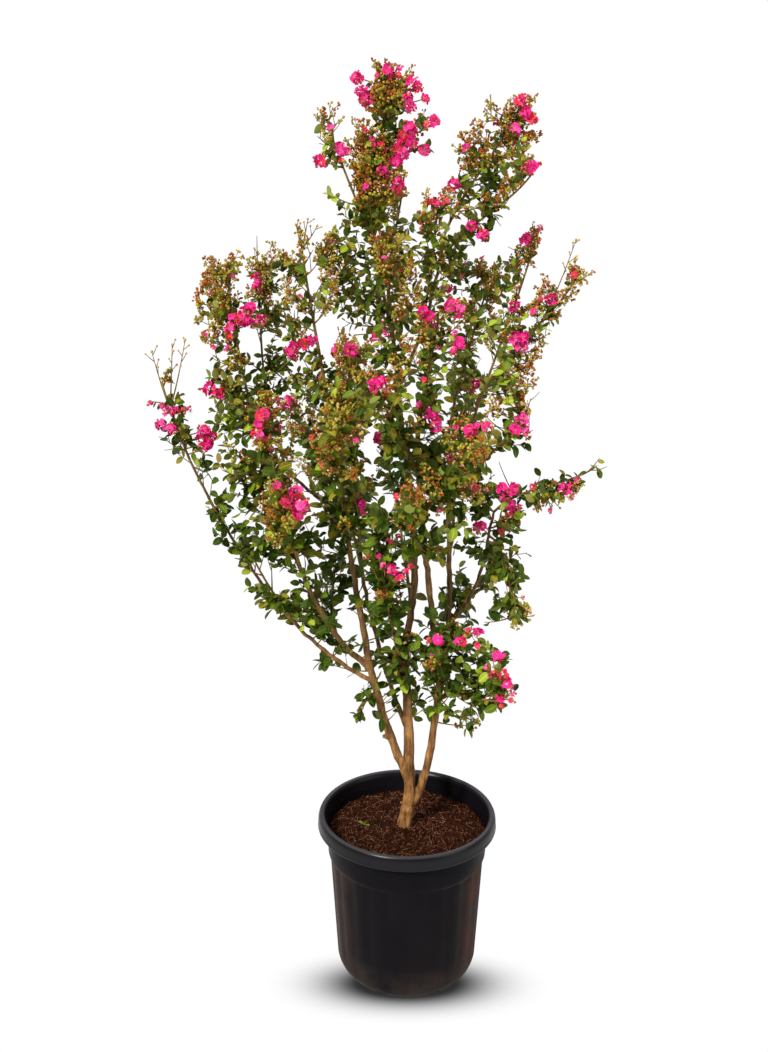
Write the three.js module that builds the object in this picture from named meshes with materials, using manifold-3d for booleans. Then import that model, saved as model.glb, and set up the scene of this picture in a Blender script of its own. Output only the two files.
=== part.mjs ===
// A crape myrtle grown as a small open tree with three stems, standing in a black nursery pot.
// Millimetres, +Z up. The origin is the middle of the pot's flat underside. +X is the right of the
// tree and +Y is its back.
//
// A place in the crown is given as [azimuth, reach, height]: degrees from +X towards +Y, the distance
// from the upright axis of the pot, and the height over the underside of the pot.

import * as THREE from 'three';
import { ConvexGeometry } from 'three/addons/geometries/ConvexGeometry.js';
import { mergeVertices } from 'three/addons/utils/BufferGeometryUtils.js';
import Module from 'manifold-3d';

const wasm = await Module();
wasm.setup();

// ---- driving dimensions ------------------------------------------------------------------------

const gap = 0.3;               // clearance between pieces that touch

const pot = {
  height: 370,
  rimRadius: 200,              // outer edge of the turned-down lip
  rimDepth: 31,                // height of the lip
  rimRound: 9,                 // height of the rounding over the lip's outer edge
  rimShoulder: 7,              // how far in that rounding ends
  rimFall: 4,                  // how much lower the lip is at the pot's mouth
  mouthRound: 10,              // how far the wall curves in just under the mouth
  rimRoof: 12,                 // thickness over the hollow under the lip
  topRadius: 181,              // body just under the lip
  footRadius: 158,             // body where it starts to round in
  baseRadius: 136,             // flat underside
  footRise: 26,                // height of the rounding at the foot
  wall: 4,
  collarHeight: 278,           // the plain band starts here and runs up to the lip
  collarStep: 4.5,             // how far the band stands proud of the fluted wall
  fluteFoot: 46,
  fluteTop: 268,
  fluteDepth: 1.5,
  flutes: 24,
  drains: 8,                   // shallow notches in the rounding at the foot
  drainWidth: 26,
  drainHeight: 11,
  drainInset: 6,               // from the edge of the flat underside out to a notch
  drainLength: 40,
};

const soilLevel = 328;

const trunkFoot = { x: -8, depth: 12, flare: 6.5, flareHeight: 34 };

const limbRule = {
  step: 75,                    // length of one straight length of a limb
  fewestSteps: 4,
  lead: 0.35,                  // share of a bend that keeps the direction it starts in
  tail: 0.3,                   // share of a bend that already has its last direction
  pull: 1.2,                   // how strongly a child turns to its goal as it leaves its parent
  rise: 0.6,                   // how strongly a limb turns up at its end
  stoutRadius: 7,              // limbs thicker than this have eight sides, the others six
  slack: 0.08,                 // added to a clearance, because flat facets lie inside the round
};

// Woody limbs, each springing from its parent at the fraction `from` and ending at the place `to`.
// `heading` is the azimuth and elevation at which it leaves, where it doesn't just follow the parent.
const limbPlan = [
  { name: 'trunk', to: [0, 5, 392], heading: [0, 78], radii: [15.5, 15] },
  { name: 'stem_middle', parent: 'trunk', from: 1, to: [100, 30, 760], radii: [13, 8.5] },
  { name: 'stem_right', parent: 'trunk', from: 0.8, to: [0, 71, 670], heading: [0, 34],
    radii: [9.5, 7.5], lead: 0.18 },
  { name: 'stem_left', parent: 'stem_middle', from: 0.12, to: [208, 95, 742], heading: [205, 66],
    radii: [10, 7.5] },
  { name: 'bough_left_inner', parent: 'stem_left', from: 1, to: [203, 151, 1131], radii: [7, 4.5] },
  { name: 'bough_left', parent: 'stem_left', from: 0.94, to: [207, 263, 1004], heading: [208, 36],
    radii: [6.5, 4] },
  { name: 'bough_sweep', parent: 'stem_left', from: 0.82, to: [193, 445, 1177], heading: [197, 30],
    radii: [4.5, 2.6] },
  { name: 'bough_left_upper', parent: 'bough_left_inner', from: 0.8, to: [186, 301, 1208],
    heading: [175, 30], radii: [4.2, 3] },
  { name: 'bough_back_left', parent: 'stem_middle', from: 0.42, to: [129, 181, 949],
    heading: [150, 62], radii: [6, 4] },
  { name: 'bough_middle', parent: 'stem_middle', from: 1, to: [114, 55, 1342], heading: [20, 74],
    radii: [8, 5] },
  { name: 'bough_leader', parent: 'bough_middle', from: 1, to: [158, 81, 1620], radii: [4.6, 3] },
  { name: 'bough_top_right', parent: 'bough_middle', from: 0.95, to: [40, 95, 1620],
    heading: [20, 58], radii: [4.2, 3] },
  { name: 'bough_right_inner', parent: 'stem_right', from: 1, to: [276, 121, 1209],
    heading: [190, 83], radii: [7.2, 5] },
  { name: 'bough_right_outer', parent: 'stem_right', from: 0.94, to: [34, 107, 1068],
    heading: [30, 74], radii: [7, 5] },
  { name: 'bough_right_upper', parent: 'bough_right_outer', from: 1, to: [8, 145, 1286],
    radii: [4.6, 3] },
  { name: 'bough_right_side', parent: 'bough_right_outer', from: 0.35, to: [350, 178, 1059],
    heading: [345, 40], radii: [4.2, 2.8] },
  { name: 'bough_right_back', parent: 'bough_right_outer', from: 0.7, to: [62, 205, 1207],
    heading: [70, 40], radii: [4.2, 3] },
  { name: 'bough_back', parent: 'bough_middle', from: 0.12, to: [95, 200, 1010],
    heading: [95, 40], radii: [4.2, 3] },
];

// Masses of foliage. Each grows from its limb at the fraction `from`, along one stem to the place
// `tip`, and keeps within `width` of that stem. `blooms` are open flower clusters, each
// [azimuth, reach, height, radius]. Every other shoot of a mass ends in leaves or green buds.
const massPlan = [
  { name: 'far_left', limb: 'bough_sweep', from: 1, tip: [194, 494, 1343], width: 85,
    blooms: [[196, 488, 1262, 30], [197, 412, 1223, 32]] },
  { name: 'left_top', limb: 'bough_left_upper', from: 1, tip: [188, 363, 1556], width: 100,
    blooms: [[190, 352, 1430, 34], [188, 397, 1311, 28]] },
  { name: 'left_front', limb: 'bough_left', from: 1, tip: [215, 346, 1293], width: 110,
    blooms: [[217, 352, 1260, 32]] },
  { name: 'left_hanging', limb: 'bough_sweep', from: 0.36, tip: [203, 345, 1010], width: 80,
    blooms: [] },
  { name: 'left_spike', limb: 'bough_left_upper', from: 0.6, tip: [163, 333, 1567], width: 80,
    blooms: [[168, 319, 1523, 22], [172, 312, 1446, 26]] },
  { name: 'inner_upper', limb: 'bough_left_inner', from: 1, tip: [185, 217, 1615], width: 105,
    blooms: [[195, 226, 1393, 34]] },
  { name: 'inner_front', limb: 'bough_left', from: 0.8, tip: [228, 362, 1174], width: 110,
    blooms: [[230, 333, 1124, 36]] },
  { name: 'centre_left', limb: 'bough_left_inner', from: 0.88, tip: [231, 181, 1400], width: 105,
    blooms: [[231, 179, 1393, 18]] },
  { name: 'front_left', limb: 'bough_left_inner', from: 0.55, tip: [245, 330, 1278], width: 110,
    blooms: [[239, 180, 1093, 16]] },
  { name: 'top_centre', limb: 'bough_leader', from: 1, tip: [141, 48, 1918], width: 95,
    blooms: [[141, 48, 1916, 18], [174, 92, 1885, 28], [50, 14, 1868, 28], [110, 14, 1782, 40]] },
  { name: 'top_left', limb: 'bough_leader', from: 0.8, tip: [180, 165, 1838], width: 55,
    blooms: [[185, 133, 1767, 22], [184, 178, 1747, 18]] },
  { name: 'upper_middle', limb: 'bough_leader', from: 0.3, tip: [174, 190, 1600], width: 90,
    blooms: [] },
  { name: 'core', limb: 'bough_middle', from: 0.9, tip: [238, 94, 1594], width: 105,
    blooms: [] },
  { name: 'middle_upper', limb: 'bough_top_right', from: 0.3, tip: [335, 60, 1680], width: 80,
    blooms: [[330, 46, 1668, 16]] },
  { name: 'top_right', limb: 'bough_top_right', from: 1, tip: [10, 226, 1872], width: 70,
    blooms: [[11, 215, 1865, 18], [5, 230, 1833, 20], [23, 93, 1712, 20]] },
  { name: 'top_right_side', limb: 'bough_top_right', from: 0.8, tip: [348, 242, 1728], width: 70,
    blooms: [[347, 231, 1730, 22], [2, 133, 1619, 28]] },
  { name: 'right_upper', limb: 'bough_right_upper', from: 0.75, tip: [13, 269, 1631], width: 75,
    blooms: [[14, 243, 1609, 16], [7, 214, 1475, 22]] },
  { name: 'right_tip', limb: 'bough_right_upper', from: 1, tip: [353, 333, 1538], width: 68,
    blooms: [[350, 279, 1489, 20], [353, 330, 1523, 14], [353, 219, 1404, 32]] },
  { name: 'right_inner', limb: 'bough_right_inner', from: 1, tip: [289, 159, 1473], width: 110,
    blooms: [[298, 171, 1469, 26], [288, 155, 1258, 26]] },
  { name: 'centre_front', limb: 'bough_right_inner', from: 0.85, tip: [256, 278, 1342], width: 110,
    blooms: [[256, 272, 1335, 28]] },
  { name: 'front_right', limb: 'bough_right_inner', from: 0.68, tip: [291, 288, 1245], width: 105,
    blooms: [[291, 286, 1240, 30]] },
  { name: 'front_middle', limb: 'bough_right_inner', from: 0.5, tip: [264, 280, 1139], width: 105,
    blooms: [] },
  { name: 'right', limb: 'bough_right_outer', from: 0.93, tip: [326, 270, 1289], width: 105,
    blooms: [[325, 252, 1249, 26], [325, 180, 1240, 24]] },
  { name: 'far_right', limb: 'bough_right_side', from: 1, tip: [357, 393, 1160], width: 62,
    blooms: [[352, 319, 1112, 22], [346, 217, 1093, 34]] },
  { name: 'right_hanging', limb: 'bough_right_side', from: 0.8, tip: [331, 245, 850], width: 75,
    blooms: [[338, 156, 1032, 16]] },
  { name: 'right_low', limb: 'stem_right', from: 0.88, tip: [329, 235, 687], width: 80,
    blooms: [[328, 230, 712, 34], [327, 216, 777, 20]] },
  { name: 'low_centre', limb: 'stem_right', from: 0.7, tip: [309, 103, 798], width: 75,
    blooms: [[329, 153, 807, 22], [304, 97, 801, 16]] },
  { name: 'low_left', limb: 'stem_left', from: 0.72, tip: [210, 135, 623], width: 58,
    blooms: [] },
  { name: 'middle_low', limb: 'stem_middle', from: 0.62, tip: [248, 130, 917], width: 90,
    blooms: [[252, 128, 963, 22]] },
  { name: 'left_low', limb: 'bough_left', from: 0.35, tip: [159, 170, 934], width: 80,
    blooms: [] },
  { name: 'back_left', limb: 'bough_back_left', from: 1, tip: [131, 420, 1263], width: 120,
    blooms: [[131, 416, 1255, 30]] },
  { name: 'back_middle', limb: 'bough_back_left', from: 0.78, tip: [111, 342, 1428], width: 120,
    blooms: [[111, 338, 1420, 34]] },
  { name: 'back_top', limb: 'bough_leader', from: 0.4, tip: [92, 200, 1765], width: 105,
    blooms: [[92, 198, 1758, 28]] },
  { name: 'back_right', limb: 'bough_right_back', from: 0.8, tip: [64, 379, 1310], width: 115,
    blooms: [[64, 375, 1302, 30]] },
  { name: 'back_upper', limb: 'bough_right_back', from: 1, tip: [51, 300, 1570], width: 105,
    blooms: [[51, 298, 1562, 28]] },
  { name: 'back_low', limb: 'bough_back', from: 1, tip: [100, 330, 1180], width: 110,
    blooms: [[100, 328, 1172, 24]] },
  { name: 'back_right_low', limb: 'bough_right_outer', from: 0.3, tip: [49, 340, 900], width: 90,
    blooms: [[49, 334, 900, 24]] },
];

const foliage = {
  firstSeed: 11,
  stemTip: 1.8,                // radius of a mass's stem at its tip
  stemShare: 0.8,              // of its limb's radius, where it leaves the side of the limb
  stemSwell: 1.3,              // corner radius of a three-sided stem over its round radius
  stemStep: 85,                // length of one straight length of a stem
  stemRise: 0.5,               // how strongly a rising stem turns up at its tip
  stemDroop: 0.3,              // and how strongly a hanging one turns down
  fullWidth: 100,              // masses slimmer than this have smaller leaves
  smallestLeaf: 0.6,           // of the full size
  overshoot: 10,               // how far foliage may pass the tip of its stem
  limbClearance: 3,
  spaceMargin: 0.05,           // how much nearer a point is to its own stem than to any other
  budRadius: 11,
  budLength: 52,
  budSink: 0.2,                // share of a spire that lies below the tip of its stem
};

const twigRule = {
  spacing: 80,                 // along the stem of a mass
  fewest: 4,
  first: 0.12,                 // share of the stem under the lowest twig
  span: 0.86,                  // share of the stem that carries twigs
  turn: 137.5,                 // degrees round the stem from one twig to the next
  lift: [30, 55],              // degrees of lean towards the tip of the stem
  reach: [0.4, 0.65],          // of the width of the mass
  endShare: 0.75,              // of that reach, at the ends of the stem
  middleShare: 0.35,           // what the middle of the stem adds to that share
  rise: 0.12,                  // of its length, by which a twig's tip is lifted
  share: 0.6,                  // of its stem's radius, at its root
  tries: [1, 0.7, 0.45],       // shares of its length, until it stays in the mass's own space
  probes: [0.5, 0.75, 1],      // where it is tested for that
};

// Each solid leaf stands for a pair or two of real ones. A twig carries one leaf at each of `places`:
// how far along the twig, its swing aside in radians and its size. A leaf that would leave the space
// of its mass is tried again at the shares of swing and size in `tries`.
const leafRule = {
  length: 104,
  width: 52,
  thickness: 3,
  widest: 0.44,                // of its length, from its root
  keel: 0.04,                  // of its length, where it is thickest
  roll: 0.8,                   // radians either way about its own length
  places: [
    { along: 0.9, swing: [-0.4, -0.2], size: [0.85, 1.15] },
    { along: 0.62, swing: [0.7, 1.2], size: [0.75, 1] },
    { along: 0.36, swing: [-1.3, -0.8], size: [0.7, 0.95] },
  ],
  tries: [[1, 1], [-1, 0.95], [0.4, 0.85], [-0.4, 0.7]],
};

const bloomRule = {
  small: 24,                   // a bloom of a smaller radius has eight faces, the others twenty
  crumple: [0.78, 1.22],
  stalk: 1.6,                  // radius of the stalk at its root
  ownStem: 0.6,                // of its radius: a bloom this near the stem needs no stalk
  climb: 25,                   // a stalk rather starts below its bloom than this much nearer above it
  crowding: 20,                // a stem whose tip is this near to a bloom has no spire of buds
};

const colours = { pot: 0x1d2024, soil: 0x3a241a, bark: 0xa77f52, foliage: 0x3f5c2a };

// ---- places, directions and curves ---------------------------------------------------------------

const up = new THREE.Vector3(0, 0, 1);

function aim(azimuth, elevation) {
  const turn = THREE.MathUtils.degToRad(azimuth);
  const lift = THREE.MathUtils.degToRad(elevation);
  const flat = Math.cos(lift);
  return new THREE.Vector3(flat * Math.cos(turn), flat * Math.sin(turn), Math.sin(lift));
}

function place([azimuth, reach, height]) {
  return aim(azimuth, 0).multiplyScalar(reach).setZ(height);
}

// A repeatable run of numbers from 0 to 1.
function seeded(seed) {
  let state = seed >>> 0;
  return () => {
    state = (state + 0x6d2b79f5) >>> 0;
    let mixed = state;
    mixed = Math.imul(mixed ^ (mixed >>> 15), mixed | 1);
    mixed ^= mixed + Math.imul(mixed ^ (mixed >>> 7), mixed | 61);
    return ((mixed ^ (mixed >>> 14)) >>> 0) / 4294967296;
  };
}

function pick([low, high], random) {
  return low + (high - low) * random();
}

// One smooth bend that leaves `start` along `heading` and arrives at `end` along `finish`.
function bend(start, heading, end, finish, lead = limbRule.lead) {
  const span = start.distanceTo(end);
  return new THREE.CubicBezierCurve3(
    start,
    start.clone().addScaledVector(heading, span * lead),
    end.clone().addScaledVector(finish, -span * limbRule.tail),
    end,
  );
}

// A bend as it is built, in `steps` straight lengths, so that what springs from it starts inside it.
// `track` is the row of points that distances to it are measured from.
function makePath(curve, steps) {
  const knots = curve.getPoints(steps);
  const point = (t) => {
    const index = Math.min(steps - 1, Math.floor(t * steps));
    return knots[index].clone().lerp(knots[index + 1], t * steps - index);
  };
  const track = Array.from({ length: 15 }, (_, i) => point(i / 14));
  return { curve, steps, point, track };
}

// The direction in which a child leaves its parent: partly the parent's own, partly to its goal.
function leaving(parent, fraction, end) {
  const goal = end.clone().sub(parent.point(fraction)).normalize();
  return parent.curve.getTangent(fraction).addScaledVector(goal, limbRule.pull).normalize();
}

// ---- solids --------------------------------------------------------------------------------------

function solid(geometry) {
  const bare = geometry.clone();
  bare.deleteAttribute('normal');
  bare.deleteAttribute('uv');
  const merged = mergeVertices(bare, 1e-4);
  const corners = merged.index.array;
  const faces = [];
  for (let i = 0; i < corners.length; i += 3) {
    const [a, b, c] = [corners[i], corners[i + 1], corners[i + 2]];
    if (a !== b && b !== c && c !== a) faces.push(a, b, c);
  }
  return new wasm.Manifold(new wasm.Mesh({
    numProp: 3,
    vertProperties: new Float32Array(merged.attributes.position.array),
    triVerts: new Uint32Array(faces),
  }));
}

function geometryOf(body) {
  const { vertProperties, triVerts } = body.getMesh();
  const geometry = new THREE.BufferGeometry();
  geometry.setAttribute('position', new THREE.BufferAttribute(vertProperties, 3));
  geometry.setIndex(new THREE.BufferAttribute(triVerts, 1));
  geometry.computeVertexNormals();
  return geometry;
}

// The largest connected piece of a solid, so that no loose scrap stays.
function largest(body) {
  return body.decompose().reduce((best, piece) => (piece.volume() > best.volume() ? piece : best));
}

// A tapering round limb: a closed cylinder whose rings are carried onto a curve. `grow` makes it
// thicker and longer all over, for cutting the clearance into what grows on it.
function tube({ curve, steps }, radiusAt, sides, grow = 0) {
  const geometry = new THREE.CylinderGeometry(1, 1, 1, sides, steps);
  const position = geometry.attributes.position;
  const chord = curve.getPoint(1).sub(curve.getPoint(0));
  const axes = [new THREE.Vector3(1, 0, 0), new THREE.Vector3(0, 1, 0), up];
  const reference = axes.reduce((best, axis) => (
    Math.abs(axis.dot(chord)) < Math.abs(best.dot(chord)) ? axis : best));
  for (let i = 0; i < position.count; i += 1) {
    const t = position.getY(i) + 0.5;
    const tangent = curve.getTangent(t);
    const side = reference.clone().cross(tangent).normalize();
    const other = side.clone().cross(tangent);
    const onCap = position.getX(i) === 0 && position.getZ(i) === 0;
    const radius = onCap ? 0 : radiusAt(t) + grow;
    const point = curve.getPoint(t)
      .addScaledVector(side, position.getX(i) * radius)
      .addScaledVector(other, position.getZ(i) * radius);
    if (t < 1e-6) point.addScaledVector(tangent, -grow);
    if (t > 1 - 1e-6) point.addScaledVector(tangent, grow);
    position.setXYZ(i, point.x, point.y, point.z);
  }
  return solid(geometry);
}

// ---- the pot -------------------------------------------------------------------------------------

// Outer radius of the pot's body, without flutes, at a height over the foot rounding.
function bodyRadius(height) {
  const share = (height - pot.footRise) / (pot.height - pot.rimDepth - pot.footRise);
  return pot.footRadius + (pot.topRadius - pot.collarStep - pot.footRadius) * share;
}

function innerRadius(height) {
  return bodyRadius(height) - pot.wall;
}

function turned(profile, segments) {
  const points = profile.map(([radius, height]) => new THREE.Vector2(radius, height));
  return new THREE.LatheGeometry(points, segments).rotateX(Math.PI / 2);
}

// The foot rounding, from the flat underside up to the wall, as points on a quarter ellipse.
function footCurve(inset, steps) {
  const corners = [];
  for (let step = 0; step <= steps; step += 1) {
    const turn = (Math.PI / 2) * (step / steps);
    corners.push([
      pot.baseRadius - inset + (pot.footRadius - pot.baseRadius) * Math.sin(turn),
      inset + (pot.footRise - inset) * (1 - Math.cos(turn)),
    ]);
  }
  return corners;
}

function buildPot() {
  const lipFoot = pot.height - pot.rimDepth;
  const lipWall = pot.rimRadius - pot.wall;
  const collarFoot = pot.collarHeight - pot.collarStep;
  const outerWall = [pot.fluteFoot, pot.fluteTop].map((h) => [bodyRadius(h), h]);
  const profile = [
    [0, 0],
    ...footCurve(0, 3),
    ...outerWall,
    [bodyRadius(collarFoot), collarFoot],
    [bodyRadius(pot.collarHeight) + pot.collarStep, pot.collarHeight],
    [pot.topRadius, lipFoot],
    [pot.topRadius, pot.height - pot.rimRoof],
    [lipWall, pot.height - pot.rimRoof],
    [lipWall, lipFoot],
    [pot.rimRadius, lipFoot],
    [pot.rimRadius, pot.height - pot.rimRound],
    [pot.rimRadius - pot.rimShoulder, pot.height],
    [innerRadius(lipFoot) + pot.mouthRound, pot.height - pot.rimFall],
    [innerRadius(lipFoot), lipFoot],
    ...footCurve(pot.wall, 1).reverse(),
    [0, pot.wall],
  ];
  const geometry = turned(profile, pot.flutes * 2);
  const position = geometry.attributes.position;
  for (let i = 0; i < position.count; i += 1) {
    const row = i % profile.length;
    const column = Math.floor(i / profile.length);
    if (outerWall.includes(profile[row]) && column % 2 === 1) {
      const radius = Math.hypot(position.getX(i), position.getY(i));
      const scale = (radius - pot.fluteDepth) / radius;
      position.setXY(i, position.getX(i) * scale, position.getY(i) * scale);
    }
  }
  let body = solid(geometry);
  for (let i = 0; i < pot.drains; i += 1) {
    const notch = new THREE.BoxGeometry(pot.drainLength, pot.drainWidth, pot.drainHeight * 2);
    notch.translate(pot.baseRadius + pot.drainInset + pot.drainLength / 2, 0, 0);
    notch.rotateZ((2 * Math.PI * (i + 0.5)) / pot.drains);
    body = body.subtract(solid(notch));
  }
  return body;
}

function buildSoil() {
  const soilRadius = innerRadius(soilLevel) - gap;
  const profile = [
    [0, pot.wall + gap],
    ...footCurve(pot.wall + gap, 1),
    [soilRadius, soilLevel],
    [0, soilLevel],
  ];
  return solid(turned(profile, pot.flutes * 2));
}

// ---- limbs ---------------------------------------------------------------------------------------

function limbCurve(limb, limbs) {
  const end = place(limb.to);
  const parent = limb.parent && limbs.get(limb.parent).path;
  const start = parent ? parent.point(limb.from)
    : new THREE.Vector3(trunkFoot.x, 0, soilLevel - trunkFoot.depth);
  const heading = limb.heading ? aim(...limb.heading) : leaving(parent, limb.from, end);
  const chord = end.clone().sub(start).normalize();
  const finish = chord.addScaledVector(up, limbRule.rise).normalize();
  return bend(start, heading, end, finish, limb.lead);
}

function limbRadius(limb) {
  const [thick, thin] = limb.radii;
  const taper = (t) => thick + (thin - thick) * t;
  if (limb.parent) return taper;
  const flareEnd = trunkFoot.flareHeight / (limb.to[2] - soilLevel);
  return (t) => taper(t) + trunkFoot.flare * Math.max(0, 1 - t / flareEnd) ** 2;
}

function buildLimbs() {
  const limbs = new Map();
  for (const limb of limbPlan) {
    const curve = limbCurve(limb, limbs);
    const radiusAt = limbRadius(limb);
    const steps = Math.max(limbRule.fewestSteps, Math.round(curve.getLength() / limbRule.step));
    const path = makePath(curve, steps);
    const sides = limb.radii[0] > limbRule.stoutRadius ? 8 : 6;
    let body = tube(path, radiusAt, sides);
    for (const earlier of limbs.values()) body = body.subtract(earlier.cutter);
    if (!limb.parent) {
      const below = new THREE.BoxGeometry(200, 200, 100).translate(0, 0, soilLevel + gap - 50);
      body = body.subtract(solid(below));
    }
    const cutter = tube(path, radiusAt, sides, gap + limbRule.slack);
    limbs.set(limb.name, { path, radiusAt, body: largest(body), cutter });
  }
  return limbs;
}

// ---- foliage -------------------------------------------------------------------------------------

function distanceToTrack(point, track) {
  let best = Infinity;
  const nearest = new THREE.Vector3();
  const line = new THREE.Line3();
  for (let i = 1; i < track.length; i += 1) {
    line.set(track[i - 1], track[i]).closestPointToPoint(point, true, nearest);
    best = Math.min(best, nearest.distanceTo(point));
  }
  return best;
}

function massStem(mass, limbs) {
  const end = place(mass.tip);
  const parent = limbs.get(mass.limb).path;
  const start = parent.point(mass.from);
  const chord = end.clone().sub(start).normalize();
  const turn = chord.z > 0 ? foliage.stemRise : -foliage.stemDroop;
  const finish = chord.addScaledVector(up, turn).normalize();
  return bend(start, leaving(parent, mass.from, end), end, finish);
}

// Whether a point belongs to a mass: nearer to its own stem than to any other, measured in widths,
// not far past its tip and clear of every limb.
function ownsPoint(mass, point, masses, limbs) {
  const own = distanceToTrack(point, mass.path.track) / mass.width;
  const past = point.clone().sub(mass.path.point(1)).dot(mass.path.curve.getTangent(1));
  if (own > 1 || past > foliage.overshoot) return false;
  for (const other of masses) {
    if (other === mass) continue;
    if (distanceToTrack(point, other.path.track) / other.width < own + foliage.spaceMargin) return false;
  }
  for (const limb of limbs.values()) {
    const thick = limb.radiusAt(0) + foliage.limbClearance;
    if (distanceToTrack(point, limb.path.track) < thick) return false;
  }
  return true;
}

// A keeled leaf: flat beneath, thickest near its root, which is sunk in the twig that carries it,
// and sharp at its sides and tip.
function leaf(root, direction, roll, size) {
  const across = direction.clone().cross(up).normalize();
  across.applyAxisAngle(direction, roll);
  const face = direction.clone().cross(across);
  const at = (along, aside, over) => root.clone()
    .addScaledVector(direction, leafRule.length * size * along)
    .addScaledVector(across, (leafRule.width * size * aside) / 2)
    .addScaledVector(face, leafRule.thickness * over);
  const tip = at(1, 0, 0);
  const left = at(leafRule.widest, 1, 0);
  const right = at(leafRule.widest, -1, 0);
  const keel = at(leafRule.keel, 0, 1);
  const geometry = new ConvexGeometry([root, keel, left, right, tip]);
  return { geometry, probes: [tip, left, right, keel] };
}

// A straight three-sided twig that tapers from its root to a point.
function spike(from, to, radius) {
  const along = to.clone().sub(from).normalize();
  const side = along.clone().cross(up).normalize();
  const corners = [0, 120, 240].map((turn) => (
    side.clone().applyAxisAngle(along, THREE.MathUtils.degToRad(turn))
      .multiplyScalar(radius).add(from)));
  return new ConvexGeometry([...corners, to]);
}

// A crumpled lump of open flowers.
function bloom(centre, radius, random) {
  const geometry = radius < bloomRule.small ? new THREE.OctahedronGeometry(radius, 0)
    : new THREE.IcosahedronGeometry(radius, 0);
  const shape = mergeVertices(geometry.deleteAttribute('normal').deleteAttribute('uv'), 1e-3);
  const position = shape.attributes.position;
  for (let i = 0; i < position.count; i += 1) {
    const stretch = pick(bloomRule.crumple, random);
    position.setXYZ(i, position.getX(i) * stretch, position.getY(i) * stretch,
      position.getZ(i) * stretch);
  }
  shape.translate(centre.x, centre.y, centre.z);
  return shape;
}

// A slim spire of green buds.
function budSpire(root, direction) {
  const geometry = new THREE.OctahedronGeometry(1, 0);
  geometry.scale(foliage.budLength / 2, foliage.budRadius, foliage.budRadius);
  geometry.translate(-foliage.budLength * foliage.budSink, 0, 0);
  const across = direction.clone().cross(up).normalize();
  const face = direction.clone().cross(across);
  geometry.applyMatrix4(new THREE.Matrix4().makeBasis(direction, across, face));
  return geometry.translate(root.x, root.y, root.z);
}

// The twigs of a mass: straight, one golden angle apart round its stem, and leaning to its tip.
function twigsOf(mass, masses, limbs, random) {
  const twigs = [];
  const count = Math.max(twigRule.fewest, Math.round(mass.length / twigRule.spacing));
  const firstTurn = random() * 360;
  for (let i = 0; i < count; i += 1) {
    const along = twigRule.first + (twigRule.span * (i + pick([0.3, 0.7], random))) / count;
    const from = mass.path.point(along);
    const tangent = mass.path.curve.getTangent(along);
    const side = tangent.clone().cross(up).normalize();
    side.applyAxisAngle(tangent, THREE.MathUtils.degToRad(firstTurn + twigRule.turn * i));
    const lift = THREE.MathUtils.degToRad(pick(twigRule.lift, random));
    const direction = side.multiplyScalar(Math.cos(lift)).addScaledVector(tangent, Math.sin(lift));
    const fullness = twigRule.endShare + twigRule.middleShare * Math.sin(Math.PI * along);
    const reach = mass.width * pick(twigRule.reach, random) * fullness;
    direction.addScaledVector(up, twigRule.rise);
    const ends = twigRule.tries.map((share) => from.clone().addScaledVector(direction, reach * share));
    const to = ends.find((end) => twigRule.probes.every((share) => (
      ownsPoint(mass, from.clone().lerp(end, share), masses, limbs))));
    if (to) twigs.push({ from, to, radius: mass.radiusAt(along) * twigRule.share });
  }
  return twigs;
}

// The leaves of one twig. `hand` is 1 or -1 and turns all of them over to the other side.
function leavesOf(twig, hand, mass, masses, limbs, random) {
  const leaves = [];
  const direction = twig.to.clone().sub(twig.from).normalize();
  for (const { along, swing, size } of leafRule.places) {
    const root = twig.from.clone().lerp(twig.to, along);
    const turn = hand * pick(swing, random);
    const fullSize = mass.leafScale * pick(size, random);
    const roll = pick([-leafRule.roll, leafRule.roll], random);
    const candidates = leafRule.tries.map(([turnShare, sizeShare]) => (
      leaf(root, direction.clone().applyAxisAngle(up, turn * turnShare), roll, fullSize * sizeShare)));
    const kept = candidates.find(({ probes }) => (
      probes.every((probe) => ownsPoint(mass, probe, masses, limbs))));
    if (kept) leaves.push(kept.geometry);
  }
  return leaves;
}

// A flower cluster, with a stalk from the nearest place on the stem unless it sits on the stem.
function bloomOn([azimuth, reach, height, radius], mass, random) {
  const centre = place([azimuth, reach, height]);
  const cost = (point) => point.distanceTo(centre) + (point.z > centre.z ? bloomRule.climb : 0);
  const root = mass.path.track.reduce((best, point) => (cost(point) < cost(best) ? point : best));
  const flowers = bloom(centre, radius, random);
  if (root.distanceTo(centre) <= radius * bloomRule.ownStem) return [flowers];
  return [spike(root, centre, bloomRule.stalk), flowers];
}

function buildMass(mass, index, masses, limbs) {
  const random = seeded(index + foliage.firstSeed);
  const shapes = [];
  for (const [i, twig] of twigsOf(mass, masses, limbs, random).entries()) {
    shapes.push(spike(twig.from, twig.to, twig.radius));
    shapes.push(...leavesOf(twig, i % 2 ? 1 : -1, mass, masses, limbs, random));
  }
  for (const plan of mass.blooms) shapes.push(...bloomOn(plan, mass, random));
  const top = mass.path.point(1);
  const crowded = mass.blooms.some((plan) => place(plan).distanceTo(top) < plan[3] + bloomRule.crowding);
  if (!crowded) shapes.push(budSpire(top, mass.path.curve.getTangent(1)));
  const stem = tube(mass.path, (t) => mass.radiusAt(t) * foliage.stemSwell, 3);
  let body = wasm.Manifold.union([stem, ...shapes.map(solid)]);
  for (const limb of limbs.values()) body = body.subtract(limb.cutter);
  return largest(body);
}

// ---- assembly ------------------------------------------------------------------------------------

const tree = new THREE.Group();

function addNode(name, body, color, roughness) {
  const material = new THREE.MeshStandardMaterial({ color, roughness, metalness: 0 });
  const mesh = new THREE.Mesh(geometryOf(body), material);
  mesh.name = name;
  tree.add(mesh);
}

addNode('pot', buildPot(), colours.pot, 0.45);
addNode('soil', buildSoil(), colours.soil, 0.95);

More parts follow.
